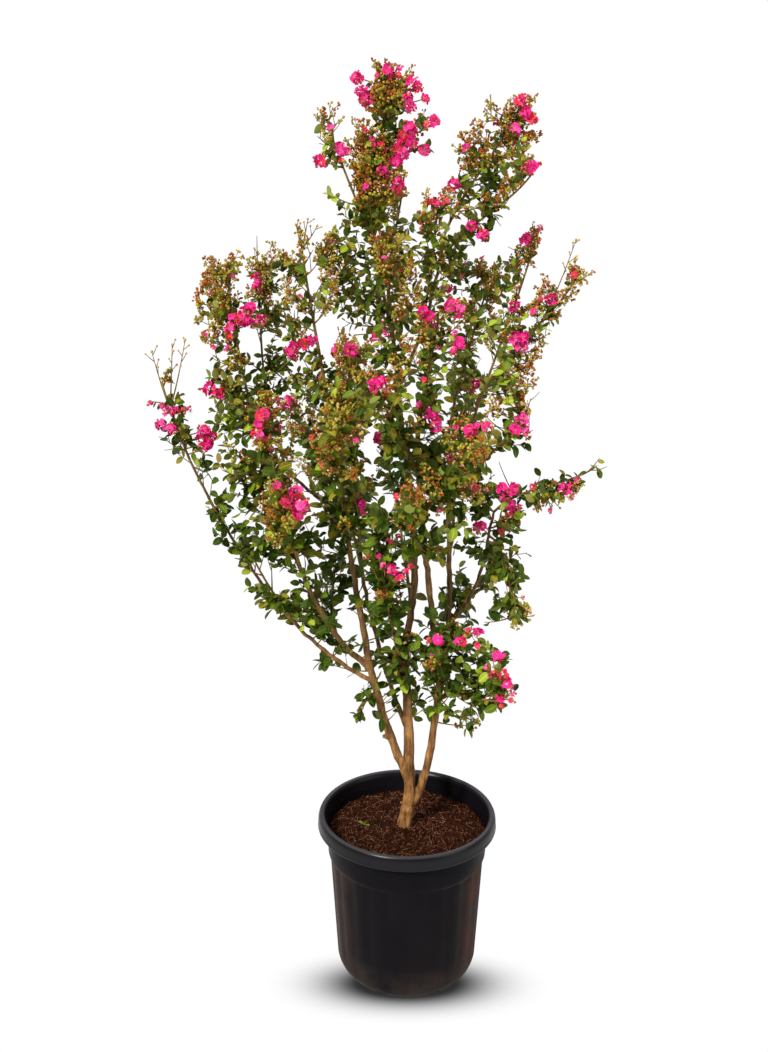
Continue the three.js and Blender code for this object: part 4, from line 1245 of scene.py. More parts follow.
# how far along a spray its own leaves go
leafyTo = {"leaves": 1.05, "shoot": 1.05, "panicle": .5, "knobs": .45, "sprig": .6}
knobBuds = {"knobs": (8, 13), "sprig": (1, 4)}


def addKnob(centre, mixture, random, buds):
    # a tight round head of buds
    kind = random.choice(budKinds, p=mixture)
    for bud in range(random.integers(*buds)):
        away = unit(random.normal(0, 1, 3) + up * .3)
        radius = random.uniform(*panicle["budSize"]) * 1.05
        spot = centre + away * random.uniform(*spray["knob"])
        stalkTubes.append((np.array([centre, spot - away * radius * .6]), (.0006, .0004)))
        addBud(kind, spot, away, random, radius)


def growSpray(source, kind, tip, random):
    first, last = spray["foot"]
    line = bends[source].curve(np.linspace(first, spray["whipFoot"] if kind == "whip" else last, 40))
    above = np.clip(line[:, 2] - tip[2] + .02, 0, None)
    foot = line[np.argmin(np.linalg.norm(line - tip, axis=1) + above * 1.5)]
    if kind == "leaves" and keptClear(tip):
        return
    rise = up * np.linalg.norm(tip - foot) * spray["rise"]
    t = np.linspace(0, 1, 7)[:, None]
    path = foot + (tip - foot - rise) * t + rise * t * t
    lengths = runAlong(path)
    mixture = habitOf(source)[0]
    tint = pickTint(tip[2], random)
    greenTubes.append((path, spray["radii"]))
    if kind in leafyTo:
        addLeaves(None, path, .12, leafyTo[kind], spray["leaves"], tint, random)
    if kind == "panicle":
        first, *width = spray["panicle"]
        addPanicle(path, first, random.uniform(*width), mixture, random, panicle["opened"][0])
    if kind not in sideTwigs:
        return
    first, gap, *twigLength = sideTwigs[kind]
    count = max(2, int(lengths[-1] * (1 - first) / gap))
    turn = random.uniform(0, 360)
    for i in range(count):
        root, along = onPath(path, lengths, lengths[-1] * (first + (1 - first) * (i + .5) / count))
        side = rotated(sideOf(along), along, math.radians(turn + growth["turn"] * i))
        heading = unit(side + along * random.uniform(*spray["twigLean"]) + up * .2)
        twig = shootPath(root, heading, random.uniform(*twigLength), spray["twigBow"])
        greenTubes.append((twig, spray["twigRadii"]))
        if kind == "leaves":
            addLeaves(None, twig, *spray["twigLeaves"], tint, random)
        elif kind == "panicle":
            begin, *width = spray["twigPanicle"]
            addPanicle(twig, begin, random.uniform(*width), mixture, random, panicle["opened"][1])
        elif kind in knobBuds:
            addKnob(twig[-1], mixture, random, knobBuds[kind])
        else:
            addBud("dry", twig[-1], heading, random, random.uniform(*spray["dryBud"]))
    if kind == "knobs":
        addKnob(tip, mixture, random, knobBuds[kind])
    elif kind in ("dry", "whip"):
        addBud("dry", tip, unit(tip - path[-2]), random, flower["bud"])


bends = {name: limb["bend"] for name, limb in limbs.items()}
bends.update((mass["name"], mass["bend"]) for mass in masses)
for index in range(len(masses)):
    growMass(index)
for name in limbNodes:
    if name != "trunk":
        growSpurs(name)
random = np.random.default_rng(foliage["spraySeed"])
for source, kind, *tips in sprays:
    for tip in tips:
        growSpray(source, kind, place(*tip), random)
print("crown:", sum(map(len, leafSpots.values())), "leaves,", sum(map(len, budSpots.values())), "buds,",
      sum(map(len, petalSpots.values())), "petals,", len(greenTubes), "shoots")


# shapes that are copied, each about one unit long along x

def leafShape():
    # a blunt oval folded along its midrib, its tip hanging down
    along = np.array([0, .13, .36, .62, .86, 1])
    half = np.array([0, .19, .3, .29, .17, 0])
    droop = -.14 * along ** 2
    points, uv = [(0, 0, 0)], [(.5, 0)]
    for x, y, z in list(zip(along, half, droop))[1:-1]:
        points += [(x, y, z + y * .26), (x, 0, z), (x, -y, z + y * .26)]
        uv += [(0, x), (.5, x), (1, x)]
    points.append((1, 0, droop[-1]))
    uv.append((.5, 1))
    faces = [(0, 2, 1), (0, 3, 2)]
    for row in range(3):
        a = 1 + row * 3
        for left in (a, a + 1):
            faces += [(left, left + 1, left + 4), (left, left + 4, left + 3)]
    faces += [(10, 11, 13), (11, 12, 13)]
    return np.array(points), np.array(faces), np.array(uv)


def petalShape():
    # a narrow claw that opens into a crinkled fan
    points = [(0, .03, 0), (0, -.03, 0), (.26, .07, .05), (.26, -.07, .05),
              (.52, .42, .12), (.6, .14, -.04), (.6, -.15, .12), (.5, -.44, -.05),
              (.84, .58, -.08), (1, .2, .16), (.96, -.2, -.08), (.82, -.6, .14)]
    uv = [(.45, 0), (.55, 0), (.4, .3), (.6, .3), (.1, .6), (.36, .65), (.64, .65), (.9, .6),
          (0, .85), (.33, 1), (.67, 1), (1, .85)]
    faces = [(0, 1, 3), (0, 3, 2), (2, 5, 4), (2, 3, 5), (3, 6, 5), (3, 7, 6)]
    for a in (4, 5, 6):
        faces += [(a, a + 1, a + 5), (a, a + 5, a + 4)]
    return np.array(points), np.array(faces), np.array(uv)


def budShape(sides=5):
    # a round bud, a little longer than wide
    points, uv = [(-1.05, 0, 0)], [(.5, 0)]
    for x, offset in ((-.42, 0), (.5, .5)):
        for i in range(sides):
            turn = 2 * math.pi * (i + offset) / sides
            points.append((x, .9 * math.cos(turn), .9 * math.sin(turn)))
            uv.append(((i + offset) / sides, (x + 1) / 2))
    points.append((1.15, 0, 0))
    uv.append((.5, 1))
    faces, last = [], len(points) - 1
    for i in range(sides):
        j = (i + 1) % sides
        low, high = 1, 1 + sides
        faces += [(0, low + j, low + i), (low + i, low + j, high + i), (low + j, high + j, high + i),
                  (last, high + i, high + j)]
    return np.array(points), np.array(faces), np.array(uv)


def stamenShape(spikes=6):
    # slim three-sided spikes that spread from one foot
    points, uv, faces = [], [], []
    for i in range(spikes):
        turn = 2 * math.pi * i / spikes
        tip = np.array([1, .5 * math.cos(turn), .5 * math.sin(turn)])
        base = len(points)
        for corner in range(3):
            around = turn + 2 * math.pi * corner / 3
            points.append((0, .07 * math.cos(around), .07 * math.sin(around)))
            uv.append((corner / 3, 0))
        points.append(tuple(tip))
        uv.append((.5, 1))
        faces += [(base, base + 1, base + 3), (base + 1, base + 2, base + 3), (base + 2, base, base + 3),
                  (base, base + 2, base + 1)]
    return np.array(points), np.array(faces), np.array(uv)


def copies(shape, spots):
    # one joined mesh with the shape set at every spot: foot, direction, face and length
    points, faces, uv = shape
    foot, forward, face, length = map(np.array, zip(*spots))
    aside = np.cross(face, forward)
    aside /= np.linalg.norm(aside, axis=1)[:, None]
    face = np.cross(forward, aside)
    local = (points[:, 0, None] * forward[:, None] + points[:, 1, None] * aside[:, None]
             + points[:, 2, None] * face[:, None])
    placed = (foot[:, None] + local * length[:, None, None]).reshape(-1, 3)
    triangles = (faces[None] + np.arange(len(spots))[:, None, None] * len(points)).reshape(-1, 3)
    return meshFromArrays(placed, triangles, np.tile(uv, (len(spots), 1)))


def tubes(paths, sides):
    # tapering closed tubes along rows of points, joined in one mesh
    turns = 2 * math.pi * np.arange(sides) / sides
    points, triangles, base = [], [], 0
    for count in sorted({len(path) for path, ends in paths}):
        line = np.array([path for path, ends in paths if len(path) == count])
        ends = np.array([ends for path, ends in paths if len(path) == count])
        along = np.gradient(line, axis=1)
        along /= np.linalg.norm(along, axis=2)[..., None]
        chord = np.abs(line[:, -1] - line[:, 0])
        reference = np.eye(3)[np.argmin(chord, axis=1)][:, None]
        side = np.cross(reference, along)
        side /= np.linalg.norm(side, axis=2)[..., None]
        other = np.cross(along, side)
        share = np.linspace(0, 1, count)
        radius = ends[:, :1] * (1 - share) + ends[:, 1:] * share
        rings = line[:, :, None] + radius[..., None, None] * (
            side[:, :, None] * np.cos(turns)[:, None] + other[:, :, None] * np.sin(turns)[:, None])
        one = []
        for row in range(count - 1):
            for i in range(sides):
                a, b = row * sides + i, row * sides + (i + 1) % sides
                one += [(a, b, b + sides), (a, b + sides, a + sides)]
        last = (count - 1) * sides
        for i in range(1, sides - 1):
            one += [(0, i + 1, i), (last, last + i, last + i + 1)]
        shift = base + np.arange(len(line))[:, None, None] * count * sides
        points.append(rings.reshape(-1, 3))
        triangles.append((np.array(one)[None] + shift).reshape(-1, 3))
        base += len(line) * count * sides
    return meshFromArrays(np.concatenate(points), np.concatenate(triangles))


# the crown, each kind of thing joined in pieces of its own

def inParts(items, most):
    return [(i // most + 1, items[i:i + most]) for i in range(0, len(items), most)]


for tint, spots in leafSpots.items():
    dress(copies(leafShape(), spots), "leaves_" + tint, leafMaterials[tint],
          massNodes if tint == "dark" else ())
for kind, spots in budSpots.items():
    for number, some in inParts(spots, 9500):
        dress(copies(budShape(), some), f"buds_{kind}_{number}", budMaterials[kind])
for tint, spots in petalSpots.items():
    dress(copies(petalShape(), spots), "petals_" + tint, petalMaterials[tint])
dress(copies(stamenShape(), stamenSpots), "stamens", stamenSkin)
dress(tubes(woodTubes, 8), "stems_of_the_masses", youngBark)
dress(tubes(greenTubes, 5), "shoots", greenWood)
for number, some in inParts(stalkTubes, 20000):
    dress(tubes(some, 3), f"bud_stalks_{number}", stalkSkin)


# the trunk, stems and boughs, with the bark's relief

bark = {
    "sampleGap": .016,  # along a limb from one point of its line to the next
    "wander": .0008,  # how far that line strays from its smooth bend
    "knots": .09,  # how much a limb's thickness comes and goes
    "collar": .28,  # how much a limb swells where it leaves its parent
    "endCollar": .07,  # the same for one that goes on from its parent's end
    "endFrom": .97,
    "collarLength": .022,
    "flare": .0065,  # at the foot of the trunk
    "flareHeight": .034,
    "voxel": .0014,
    "boughVoxel": .00155,
    "smoothing": (.5, 5),
    "relief": [(240, 30, .00055), (60, 34, .0007), (700, 300, .0002)],  # turns across, along, depth
    "stubShape": (1.5, 1.4, 1.05, 1, .9, .7),
    "stubBend": (.0015, -.001, .001),
}

# dead stubs: limb, where on it, azimuth, elevation, length, radius
stubs = [
    ("trunk", .75, 200, 40, .016, .0035),
    ("stem_left", .37, 205, 15, .016, .0056),
    ("stem_left", .34, 190, 40, .012, .0036),
    ("stem_left", .42, 200, 65, .02, .0026),
    ("stem_left", .62, 120, 55, .03, .0026),
    ("stem_left", .8, 310, 60, .034, .0022),
    ("stem_left", .86, 150, 35, .022, .0018),
    ("stem_middle", .7, 350, 50, .02, .003),
    ("stem_middle", .82, 200, 45, .028, .0018),
    ("stem_right", .8, 20, 45, .03, .002),
    ("bough_middle", .2, 180, 40, .024, .0022),
    ("bough_right_inner", .3, 330, 45, .03, .002),
    ("bough_left_inner", .35, 60, 50, .028, .002),
]


def addSpline(curve, line, radii):
    spline = curve.splines.new("POLY")
    spline.points.add(len(line) - 1)
    for point, spot, radius in zip(spline.points, line, radii):
        point.co = (*spot, 1)
        point.radius = radius


def limbSpline(curve, name):
    limb, random = limbs[name], np.random.default_rng(sum(map(ord, name)))
    bend = limb["bend"]
    count = max(8, int(bend.length / bark["sampleGap"]))
    t = np.linspace(0, 1, count)
    line = bend.curve(t)
    line[1:-1] += random.normal(0, bark["wander"], (count - 2, 3))
    run = t * bend.length
    first, last = limb["radii"]
    radii = first + (last - first) * t
    radii = radii * (1 + random.uniform(-.4, 1, count) * bark["knots"])
    if name == "trunk":
        radii += bark["flare"] * np.clip(1 - run / bark["flareHeight"], 0, 1) ** 2
    else:
        swell = bark["collar" if limb["t"] < bark["endFrom"] else "endCollar"]
        radii *= 1 + swell * np.exp(-run / bark["collarLength"])
    addSpline(curve, line, radii)


def barkPiece(name, members, voxel, nodes):
    clearSelection()
    bpy.ops.curve.primitive_bezier_curve_add()
    piece = bpy.context.object
    curve = piece.data
    curve.splines.clear()
    curve.bevel_depth = 1
    curve.bevel_resolution = 4
    curve.use_fill_caps = True
    for member in members:
        limbSpline(curve, member)
    for limb, t, azimuth, elevation, length, radius in stubs:
        if limb in members:
            start, out = limbs[limb]["bend"].point(t), aim(azimuth, elevation)
            reach = limbs[limb]["radii"][0] * .7 + length
            line = start + out * reach * np.linspace(0, 1, 6)[:, None]
            line[3:] += np.array(bark["stubBend"])
            addSpline(curve, line, radius * np.array(bark["stubShape"]))
    bpy.ops.object.convert(target="MESH")
    piece = bpy.context.object
    skin = piece.modifiers.new("skin", "REMESH")
    skin.mode = "VOXEL"
    skin.voxel_size = voxel
    rounded = piece.modifiers.new("rounded", "SMOOTH")
    rounded.factor, rounded.iterations = bark["smoothing"]
    applyAll(piece)
    mesh = piece.data
    points = np.empty(len(mesh.vertices) * 3, np.float32)
    normals = np.empty(len(mesh.vertices) * 3, np.float32)
    mesh.vertices.foreach_get("co", points)
    mesh.vertices.foreach_get("normal", normals)
    points, normals = points.reshape(-1, 3), normals.reshape(-1, 3)
    push = [sum(noise.noise(Vector((x * across, y * across, z * along))) * depth
                for across, along, depth in bark["relief"]) for x, y, z in points.tolist()]
    points += normals * np.array(push)[:, None]
    mesh.vertices.foreach_set("co", points.ravel())
    mesh.update()
    mesh.shade_smooth()
    dress(piece, name, barkSkin, nodes)


stemNames = [name for name in limbNodes if not name.startswith("bough_")]
boughNames = [name for name in limbNodes if name.startswith("bough_")]
barkPiece("bark_of_trunk_and_stems", stemNames, bark["voxel"], stemNames)
barkPiece("bark_of_boughs", boughNames, bark["boughVoxel"], boughNames)
print("bark: done")


# the pot, drawn up ring by ring from a cylinder and down again inside

pot = {
    "columns": 192,
    "flutes": 24,
    "fluteShape": (.0015, .0012, .0005),  # how deep the groove's middle and its sides are
    "fluteHeights": (.045, .269),
    "fluteRadius": .16,
    "wall": (.1585, .0592),  # just inside the wall's face at "wallFoot", and how it widens upwards
    "wallFoot": .046,
    "base": .136,
    "drains": 8,
    "drainSize": (.04, .026, .022),
    "drainReach": .162,
    "drainBevel": (.003, 2),
    "smoothAngle": 38,
    # from the foot to the lip, over it and down to the floor inside: radius, height
    "rings": [
        (.1403, .0004), (.1449, .002), (.1493, .0058), (.1532, .0112), (.1562, .0182), (.1583, .026),
        (.1587, .033), (.1591, .04), (.1595, .046), (.1619, .086), (.1643, .126), (.1666, .165),
        (.169, .205), (.1713, .245), (.1725, .264), (.1727, .268), (.173, .2725), (.1735, .273),
        (.1744, .2735), (.1764, .2752), (.1773, .278), (.1778, .284), (.1792, .31), (.181, .339),
        (.1812, .352), (.1825, .3575), (.185, .359), (.1915, .3588), (.195, .357), (.196, .352),
        (.1962, .3415), (.1967, .3396), (.1978, .3388), (.199, .3389), (.1999, .3398), (.2003, .3415),
        (.2001, .3432), (.1996, .3448), (.1996, .35), (.1993, .3565), (.1984, .362), (.1966, .3662),
        (.1944, .369), (.1916, .37), (.1888, .3694), (.1862, .3677), (.184, .3652), (.1823, .362),
        (.1812, .3578), (.1805, .352), (.1798, .346), (.1788, .3395), (.1776, .328), (.1748, .29),
        (.169, .27), (.1645, .19), (.1585, .09), (.1545, .03), (.151, .0165), (.141, .0065), (.128, .004)]
}


def extrudeRing(radius, height, before, flatten=1):
    # the selected ring is drawn on to its next radius and height
    oldRadius, oldHeight = before
    bpy.ops.mesh.extrude_region_move(TRANSFORM_OT_translate={"value": (0, 0, height - oldHeight)})
    scale = radius / oldRadius
    bpy.ops.transform.resize(value=(scale, scale, flatten), center_override=(0, 0, height))


def selectWhere(piece, test):
    # in edit mode, the vertices that pass the test
    bpy.ops.mesh.select_mode(type="VERT")
    bpy.ops.mesh.select_all(action="DESELECT")
    bpy.ops.object.mode_set(mode="OBJECT")
    for vertex in piece.data.vertices:
        vertex.select = test(vertex.co)
    bpy.ops.object.mode_set(mode="EDIT")


def buildPot():
    clearSelection()
    first = pot["rings"][0]
    bpy.ops.mesh.primitive_cylinder_add(vertices=pot["columns"], radius=pot["base"], depth=first[1],
                                        location=(0, 0, first[1] / 2))
    piece = bpy.context.object
    bpy.ops.object.transform_apply(location=True)
    bpy.ops.object.mode_set(mode="EDIT")
    selectWhere(piece, lambda co: co.z > first[1] / 2)
    scale = first[0] / pot["base"]
    bpy.ops.transform.resize(value=(scale, scale, 1), center_override=(0, 0, first[1]))
    before = first
    for radius, height in pot["rings"][1:]:
        extrudeRing(radius, height, before)
        before = (radius, height)
    step = pot["columns"] // pot["flutes"]
    foot, top = pot["fluteHeights"]
    inner, widening = pot["wall"]
    for offset, depth in enumerate(pot["fluteShape"]):
        def inGroove(co):
            column = round((math.atan2(co.y, co.x) / (2 * math.pi)) * pot["columns"]) % step
            outside = math.hypot(co.x, co.y) > inner + (co.z - pot["wallFoot"]) * widening
            return outside and column in (offset, step - offset) and foot < co.z < top
        selectWhere(piece, inGroove)
        scale = 1 - depth / pot["fluteRadius"]
        bpy.ops.transform.resize(value=(scale, scale, 1), center_override=(0, 0, 0))
    bpy.ops.object.mode_set(mode="OBJECT")
    cutters = []
    for i in range(pot["drains"]):
        turn = 2 * math.pi * (i + .5) / pot["drains"]
        spot = aim(math.degrees(turn), 0) * pot["drainReach"]
        bpy.ops.mesh.primitive_cube_add(size=1, location=spot, rotation=(0, 0, turn),
                                        scale=pot["drainSize"])
        cutter = bpy.context.object
        bpy.ops.object.transform_apply(location=True, rotation=True, scale=True)
        softened = cutter.modifiers.new("softened", "BEVEL")
        softened.width, softened.segments = pot["drainBevel"]
        applyAll(cutter)
        cutters.append(cutter)
    for cutter in cutters:
        cut = piece.modifiers.new("notch", "BOOLEAN")
        cut.operation, cut.solver, cut.object = "DIFFERENCE", "EXACT", cutter
        applyAll(piece)
        bpy.data.objects.remove(cutter)
    selectOnly(piece)
    bpy.ops.object.shade_smooth_by_angle(angle=math.radians(pot["smoothAngle"]))
    return piece


plastic = {
    "specular": .02,
    "patches": (9, 6, 1.6),
    "tones": ((.0036, .0032, .0045), (.0074, .0066, .0086)),
    "gloss": (.01, .3),  # of the coat on the wall and on the lip
    "glossRoughness": .28,
    "lipHeights": (.334, .34),
    # a painted highlight along the crest of the lip: the heights of the lighter band and its colour
    "paintedCrestHighlightHeights": (.3655, .3688),
    "paintedCrestHighlight": (.045, .042, .047),
    # brown on the wall's left and right sides: partly dust, partly a painted grazing sheen
    "dustAndSheen": (.072, .033, .021),
    "dustAndSheenTop": (.27, .3),  # it fades out between these heights
    "dustAndSheenSides": (.0115, .0235),  # and comes in between these squares of x
    "dustAndSheenShares": (.03, 1),
    "dustAndSheenAcross": (-.15, .15, .4, 1.2),  # more of it from left to right
    "splash": (.05, .036, .029),
    "splashTop": (.015, .08),
    "splashAmount": .6,
    "roughness": (.36, .7),
    "scuffs": (40, 900, .35),
    "scuffDepth": (.25, .0006),
}


def plasticMaterial():
    # near-black plastic with a faint blue cast, scuffs, patches of brown dust on the wall that on its left
    # and right sides are partly a painted grazing sheen, and a painted highlight along the lip's crest
    material, tree, shader, coords = newMaterial("potPlastic", plastic["specular"])
    shader.inputs["Coat Roughness"].default_value = plastic["glossRoughness"]
    onPot = coords["Object"]
    spot = split(tree, onPot)
    tone = mottled(tree, onPot, plastic["patches"], *plastic["tones"])
    lip = ranged(tree, spot["Z"], *plastic["lipHeights"])
    paintedCrestHighlight = ranged(tree, spot["Z"], *plastic["paintedCrestHighlightHeights"])
    # the lip's crest is made lighter here, a painted highlight
    wearAndPaintedHighlight = blended(tree, paintedCrestHighlight, tone["Color"], plastic["paintedCrestHighlight"])
    # the brown film on the left and right sides is partly dust and partly a painted grazing sheen
    square = sums(tree, "MULTIPLY", spot["X"], spot["X"])
    sides = ranged(tree, square, *plastic["dustAndSheenSides"], *plastic["dustAndSheenShares"])
    sideDustAndSheen = sums(tree, "MULTIPLY", sides, ranged(tree, spot["X"], *plastic["dustAndSheenAcross"]))
    wall = ranged(tree, spot["Z"], *plastic["dustAndSheenTop"], 1, 0)
    dustAndSheenFilm = useGroup(tree, dustAndSheen, Color=wearAndPaintedHighlight, Dust=plastic["dustAndSheen"], Vector=onPot,
                    Low=.5, High=1, Amount=sums(tree, "MULTIPLY", sideDustAndSheen, wall))
    low, high = plastic["splashTop"]
    splash = useGroup(tree, dustAndSheen, Color=dustAndSheenFilm["Color"], Dust=plastic["splash"], Vector=onPot,
                      Low=low, High=high, Amount=plastic["splashAmount"])
    dull = sums(tree, "MAXIMUM", dustAndSheenFilm["Mask"], splash["Mask"])
    feed(tree, shader, {
        "Base Color": splash["Color"],
        "Coat Weight": ranged(tree, lip, 0, 1, *plastic["gloss"]),
        "Roughness": ranged(tree, dull, 0, 1, *plastic["roughness"]),
        "Normal": roughened(tree, onPot, plastic["scuffs"], plastic["scuffDepth"])})
    return material


dress(buildPot(), "nursery_pot", plasticMaterial(), ["pot"])
print("pot: done")


# the potting mix: a rough bed with crumbs and coir fibres lying on it

soil = {
    "radius": .1772,
    "cells": 200,
    "lumps": (34, 3, .0055),  # how fast they change, octaves, height
    "grains": (210, 2, .0022),
    "mound": (.006, .05),  # how much higher it lies round the trunk, and how far out
    "edgeDrop": (.004, 8),
    "sides": [(.1744, .29), (.1682, .27), (.1535, .03), (.13, .006)],
    "crumbs": 2200,
    "crumbSize": (.001, .0036),
    "largeCrumbs": (.8, 1.6),  # past this share of them, this much larger
    "paleCrumb": .0016,  # the most
    "crumbShares": {"dark": .5, "red": .38, "pale": .12},
    "fibres": 700,
    "fibreLength": (.012, .042),
    "fibreRadius": (.00022, .00045),
    "fibreLift": (.0002, .0022),
    "fibreWave": .0018,
    "paleFibres": .45,
    "scrap": (-.1, .008),  # where a shed leaf lies
}


def soilHeight(x, y):
    mound, moundReach = soil["mound"]
    drop, power = soil["edgeDrop"]
    reach = math.hypot(x - growth["trunkFoot"][0], y)
    edge = math.hypot(x, y) / soil["radius"]
    height = soilLevel - .001 + mound * math.exp(-(reach / moundReach) ** 2) - drop * edge ** power
    for (scale, octaves, depth), layer in ((soil["lumps"], 1), (soil["grains"], 5)):
        height += noise.fractal(Vector((x * scale, y * scale, layer)), 1, 2, octaves) * depth
    return height


def buildSoil():
    clearSelection()
    size = soil["radius"] * 2.04
    bpy.ops.mesh.primitive_grid_add(x_subdivisions=soil["cells"], y_subdivisions=soil["cells"], size=size,
                                    location=(0, 0, 0))
    piece = bpy.context.object
    bpy.ops.object.mode_set(mode="EDIT")
    selectWhere(piece, lambda co: math.hypot(co.x, co.y) > soil["radius"])
    bpy.ops.mesh.delete(type="VERT")
    bpy.ops.mesh.select_all(action="DESELECT")
    bpy.ops.mesh.select_non_manifold()
    bpy.ops.object.mode_set(mode="OBJECT")
    for vertex in piece.data.vertices:
        x, y = vertex.co.x, vertex.co.y
        if vertex.select:
            out = soil["radius"] / math.hypot(x, y)
            x, y = x * out, y * out
        vertex.co = (x, y, soilHeight(x, y))
    bpy.ops.object.mode_set(mode="EDIT")
    before = (soil["radius"], soilLevel)
    for radius, height in soil["sides"]:
        extrudeRing(radius, height, before, flatten=0)
        before = (radius, height)
    bpy.ops.mesh.edge_face_add()
    bpy.ops.mesh.select_all(action="SELECT")
    bpy.ops.mesh.normals_make_consistent(inside=False)
    bpy.ops.object.mode_set(mode="OBJECT")
    piece.data.shade_smooth()
    return piece


def crumbShape():
    # a lumpy eight-sided grain
    points = np.array([(1, .1, 0), (-.9, 0, .1), (0, 1, -.1), (.1, -.8, 0), (0, .1, .8), (.1, 0, -.7)])
    faces = np.array([(0, 2, 4), (2, 1, 4), (1, 3, 4), (3, 0, 4),
                      (2, 0, 5), (1, 2, 5), (3, 1, 5), (0, 3, 5)])
    return points, faces, np.zeros((6, 2))


def scatter(random, count, margin):
    spots = []
    while len(spots) < count:
        x, y = random.uniform(-soil["radius"], soil["radius"], 2)
        if math.hypot(x, y) < soil["radius"] - margin:
            spots.append((x, y))
    return spots


random = np.random.default_rng(41)
crumbs = {kind: [] for kind in soil["crumbShares"]}
usual, larger = soil["largeCrumbs"]
for x, y in scatter(random, soil["crumbs"], .004):
    size = random.uniform(*soil["crumbSize"]) * (1 if random.random() < usual else larger)
    kind = random.choice(list(crumbs), p=list(soil["crumbShares"].values()))
    if kind == "pale":
        size = min(size, soil["paleCrumb"])
    spot = np.array([x, y, soilHeight(x, y) + size * .2])
    crumbs[kind].append((spot, unit(random.normal(0, 1, 3)), random.normal(0, 1, 3), size))
fibres = {"pale": [], "red": []}
for x, y in scatter(random, soil["fibres"], .012):
    length = random.uniform(*soil["fibreLength"])
    # they tend to lie in arcs round the trunk
    turn = math.atan2(y, x) + math.pi / 2 + random.normal(0, .8)
    curl = 1 / max(math.hypot(x, y), .04) + random.normal(0, 16)
    line, lift = [], random.uniform(*soil["fibreLift"])
    for step in range(7):
        height = soilHeight(x, y) + lift + soil["fibreWave"] * math.sin(step * 1.1 + turn)
        line.append((x, y, height))
        turn += curl * length / 6
        x, y = x + math.cos(turn) * length / 6, y + math.sin(turn) * length / 6
    if max(math.hypot(a, b) for a, b, c in line) < soil["radius"] - .002:
        kind = "pale" if random.random() < soil["paleFibres"] else "red"
        radius = random.uniform(*soil["fibreRadius"])
        fibres[kind].append((np.array(line), (radius, radius * .5)))

soilColours = {
    "dark": ((.006, .002, .0008), (.03, .009, .004)),
    "red": ((.03, .008, .0035), (.12, .034, .016)),
    "pale": ((.2, .085, .04), (.48, .27, .16)),
}
bedSkin = plainMaterial("pottingMix", (.004, .0011, .0004), (.044, .0115, .0045), 120, .85, .0012)
dress(buildSoil(), "potting_mix_bed", bedSkin, ["soil"])
for kind, spots in crumbs.items():
    skin = plainMaterial("crumb_" + kind, *soilColours[kind], 90, .85, .0006)
    dress(copies(crumbShape(), spots), "crumbs_" + kind, skin)
for kind, lines in fibres.items():
    skin = plainMaterial("fibre_" + kind, *soilColours[kind], 60, .7, .0002)
    dress(tubes(lines, 3), "coir_fibres_" + kind, skin)
scrap = np.array([*soil["scrap"], soilHeight(*soil["scrap"]) + .003])
scraps = [(scrap, unit(np.array([.8, -.5, .15])), up, .019),
          (scrap, unit(np.array([-.7, .6, .2])), up, .014)]
dress(copies(leafShape(), scraps), "leaf_scrap_on_the_mix", leafMaterials["mid"])
print("potting mix: done")


# floor, light and camera

stage = {
    "floor": 30,
    "floorDrop": .0005,  # under the pot's foot
    "shadowSize": (.39, .157),  # half length and half depth of the painted soft shadow
    "shadowShift": -.098,  # its middle lies this far in front of the pot's
    "shadowEdge": .53,
    "shadow": (1.02, .03),  # brightness of the floor in the open and in the painted shadow
    "backdrop": 1.02,
    "sky": (.42, .25),  # brightness on the plant and in its reflections
    "camera": (-.0515, -1.9, 1.427),
    "cameraTilt": 12,  # degrees down
    "focal": 31.52,
    "frameHeight": 36,
}

# name, kind, place, aimed at, size (degrees for a sun), power, colour
lamps = [
    ("key", "SUN", (-1.5, -2, 3.1), (0, 0, .9), 9, 3.8, (1, .975, .93)),
    ("fill", "AREA", (2.4, -1.6, 1.6), (0, 0, .8), 2.2, 16, (1, 1, 1)),
    ("rim", "AREA", (.9, 2.4, 3), (0, 0, 1.1), 1.6, 30, (1, 1, 1)),
]

clearSelection()
bpy.ops.mesh.primitive_plane_add(size=stage["floor"], location=(0, 0, -stage["floorDrop"]))
floor = bpy.context.object
bpy.ops.object.transform_apply(location=True)
floor.name = "floor"
paper, tree, shader, coords = newMaterial("paper", .1, .9)
fillSocket(shader.inputs["Base Color"], (.9, .895, .9))
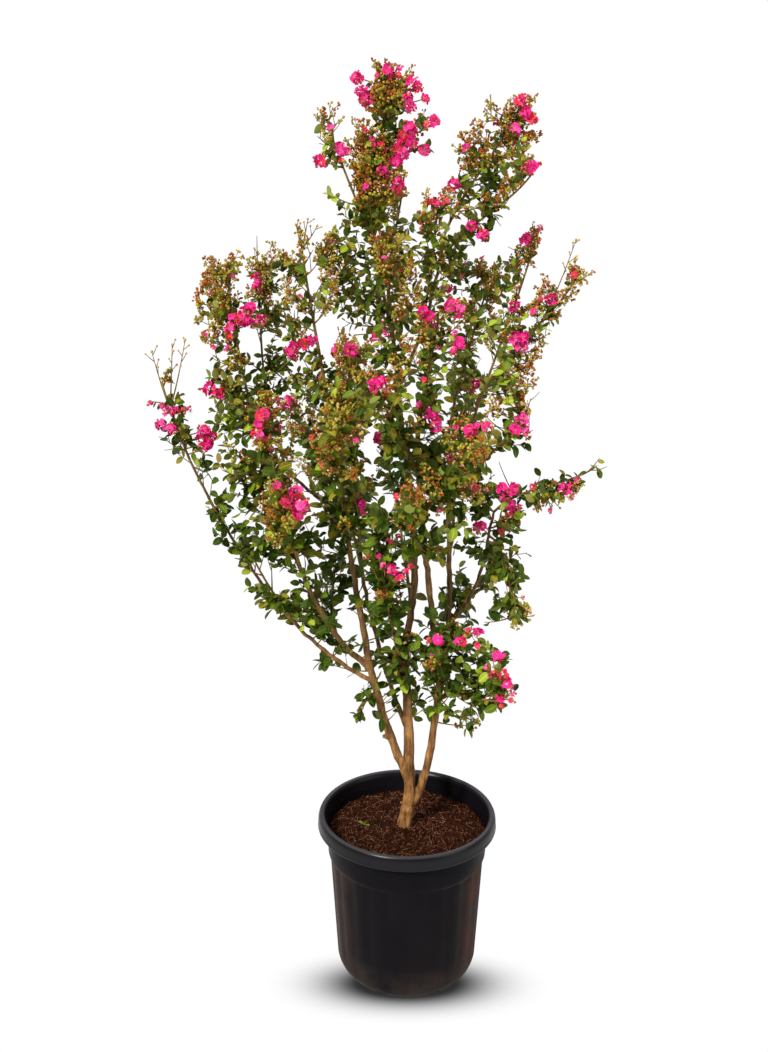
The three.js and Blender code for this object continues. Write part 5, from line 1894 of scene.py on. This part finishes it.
# the camera sees evenly lit paper with a painted soft shadow under the pot, an oval gradient in the paper's
# glow
halfLength, halfDepth = stage["shadowSize"]
oval = put(tree, "ShaderNodeMapping", {"Vector": coords["Object"],
                                       "Location": (0, -stage["shadowShift"] / halfDepth, 0),
                                       "Scale": (1 / halfLength, 1 / halfDepth, 0)}).outputs[0]
near = put(tree, "ShaderNodeTexGradient", {"Vector": oval}, gradient_type="QUADRATIC_SPHERE")
bright = ranged(tree, near.outputs["Fac"], 0, stage["shadowEdge"], *stage["shadow"],
                interpolation_type="SMOOTHSTEP")
evenly = put(tree, "ShaderNodeEmission", {"Color": (1, .99, 1), "Strength": bright})
seen = put(tree, "ShaderNodeLightPath").outputs["Is Camera Ray"]
paperShader = put(tree, "ShaderNodeMixShader", {0: seen, 1: shader.outputs[0], 2: evenly.outputs[0]})
tree.links.new(paperShader.outputs[0], tree.nodes["Material Output"].inputs["Surface"])
floor.data.materials.append(paper)

# white behind the plant, dimmer on it, dimmer still in its reflections
world = bpy.data.worlds.new("studio")
bpy.context.scene.world = world
world.use_nodes = True
tree = world.node_tree
seen = put(tree, "ShaderNodeLightPath").outputs
skyOnPlant = ranged(tree, seen["Is Glossy Ray"], 0, 1, *stage["sky"])
background = tree.nodes["Background"]
fillSocket(background.inputs["Color"], (1, .995, 1))
feed(tree, background, {
    "Strength": ranged(tree, seen["Is Camera Ray"], 0, 1, skyOnPlant, stage["backdrop"])})

for name, kind, spot, target, size, power, colour in lamps:
    bpy.ops.object.light_add(type=kind, location=spot)
    lamp = bpy.context.object
    lamp.name = name
    if kind == "SUN":
        lamp.data.angle = math.radians(size)
    else:
        lamp.data.shape = "DISK"
        lamp.data.size = size
    lamp.data.energy = power
    lamp.data.color = colour
    lamp.rotation_euler = (Vector(target) - Vector(spot)).to_track_quat("-Z", "Y").to_euler()

bpy.ops.object.camera_add(location=stage["camera"],
                          rotation=(math.radians(90 - stage["cameraTilt"]), 0, 0))
camera = bpy.context.object
camera.data.sensor_fit = "VERTICAL"
camera.data.sensor_height = stage["frameHeight"]
camera.data.lens = stage["focal"]
bpy.context.scene.camera = camera
bpy.context.scene.view_settings.view_transform = "Standard"
print("stage: done")

bpy.context.view_layer.update()
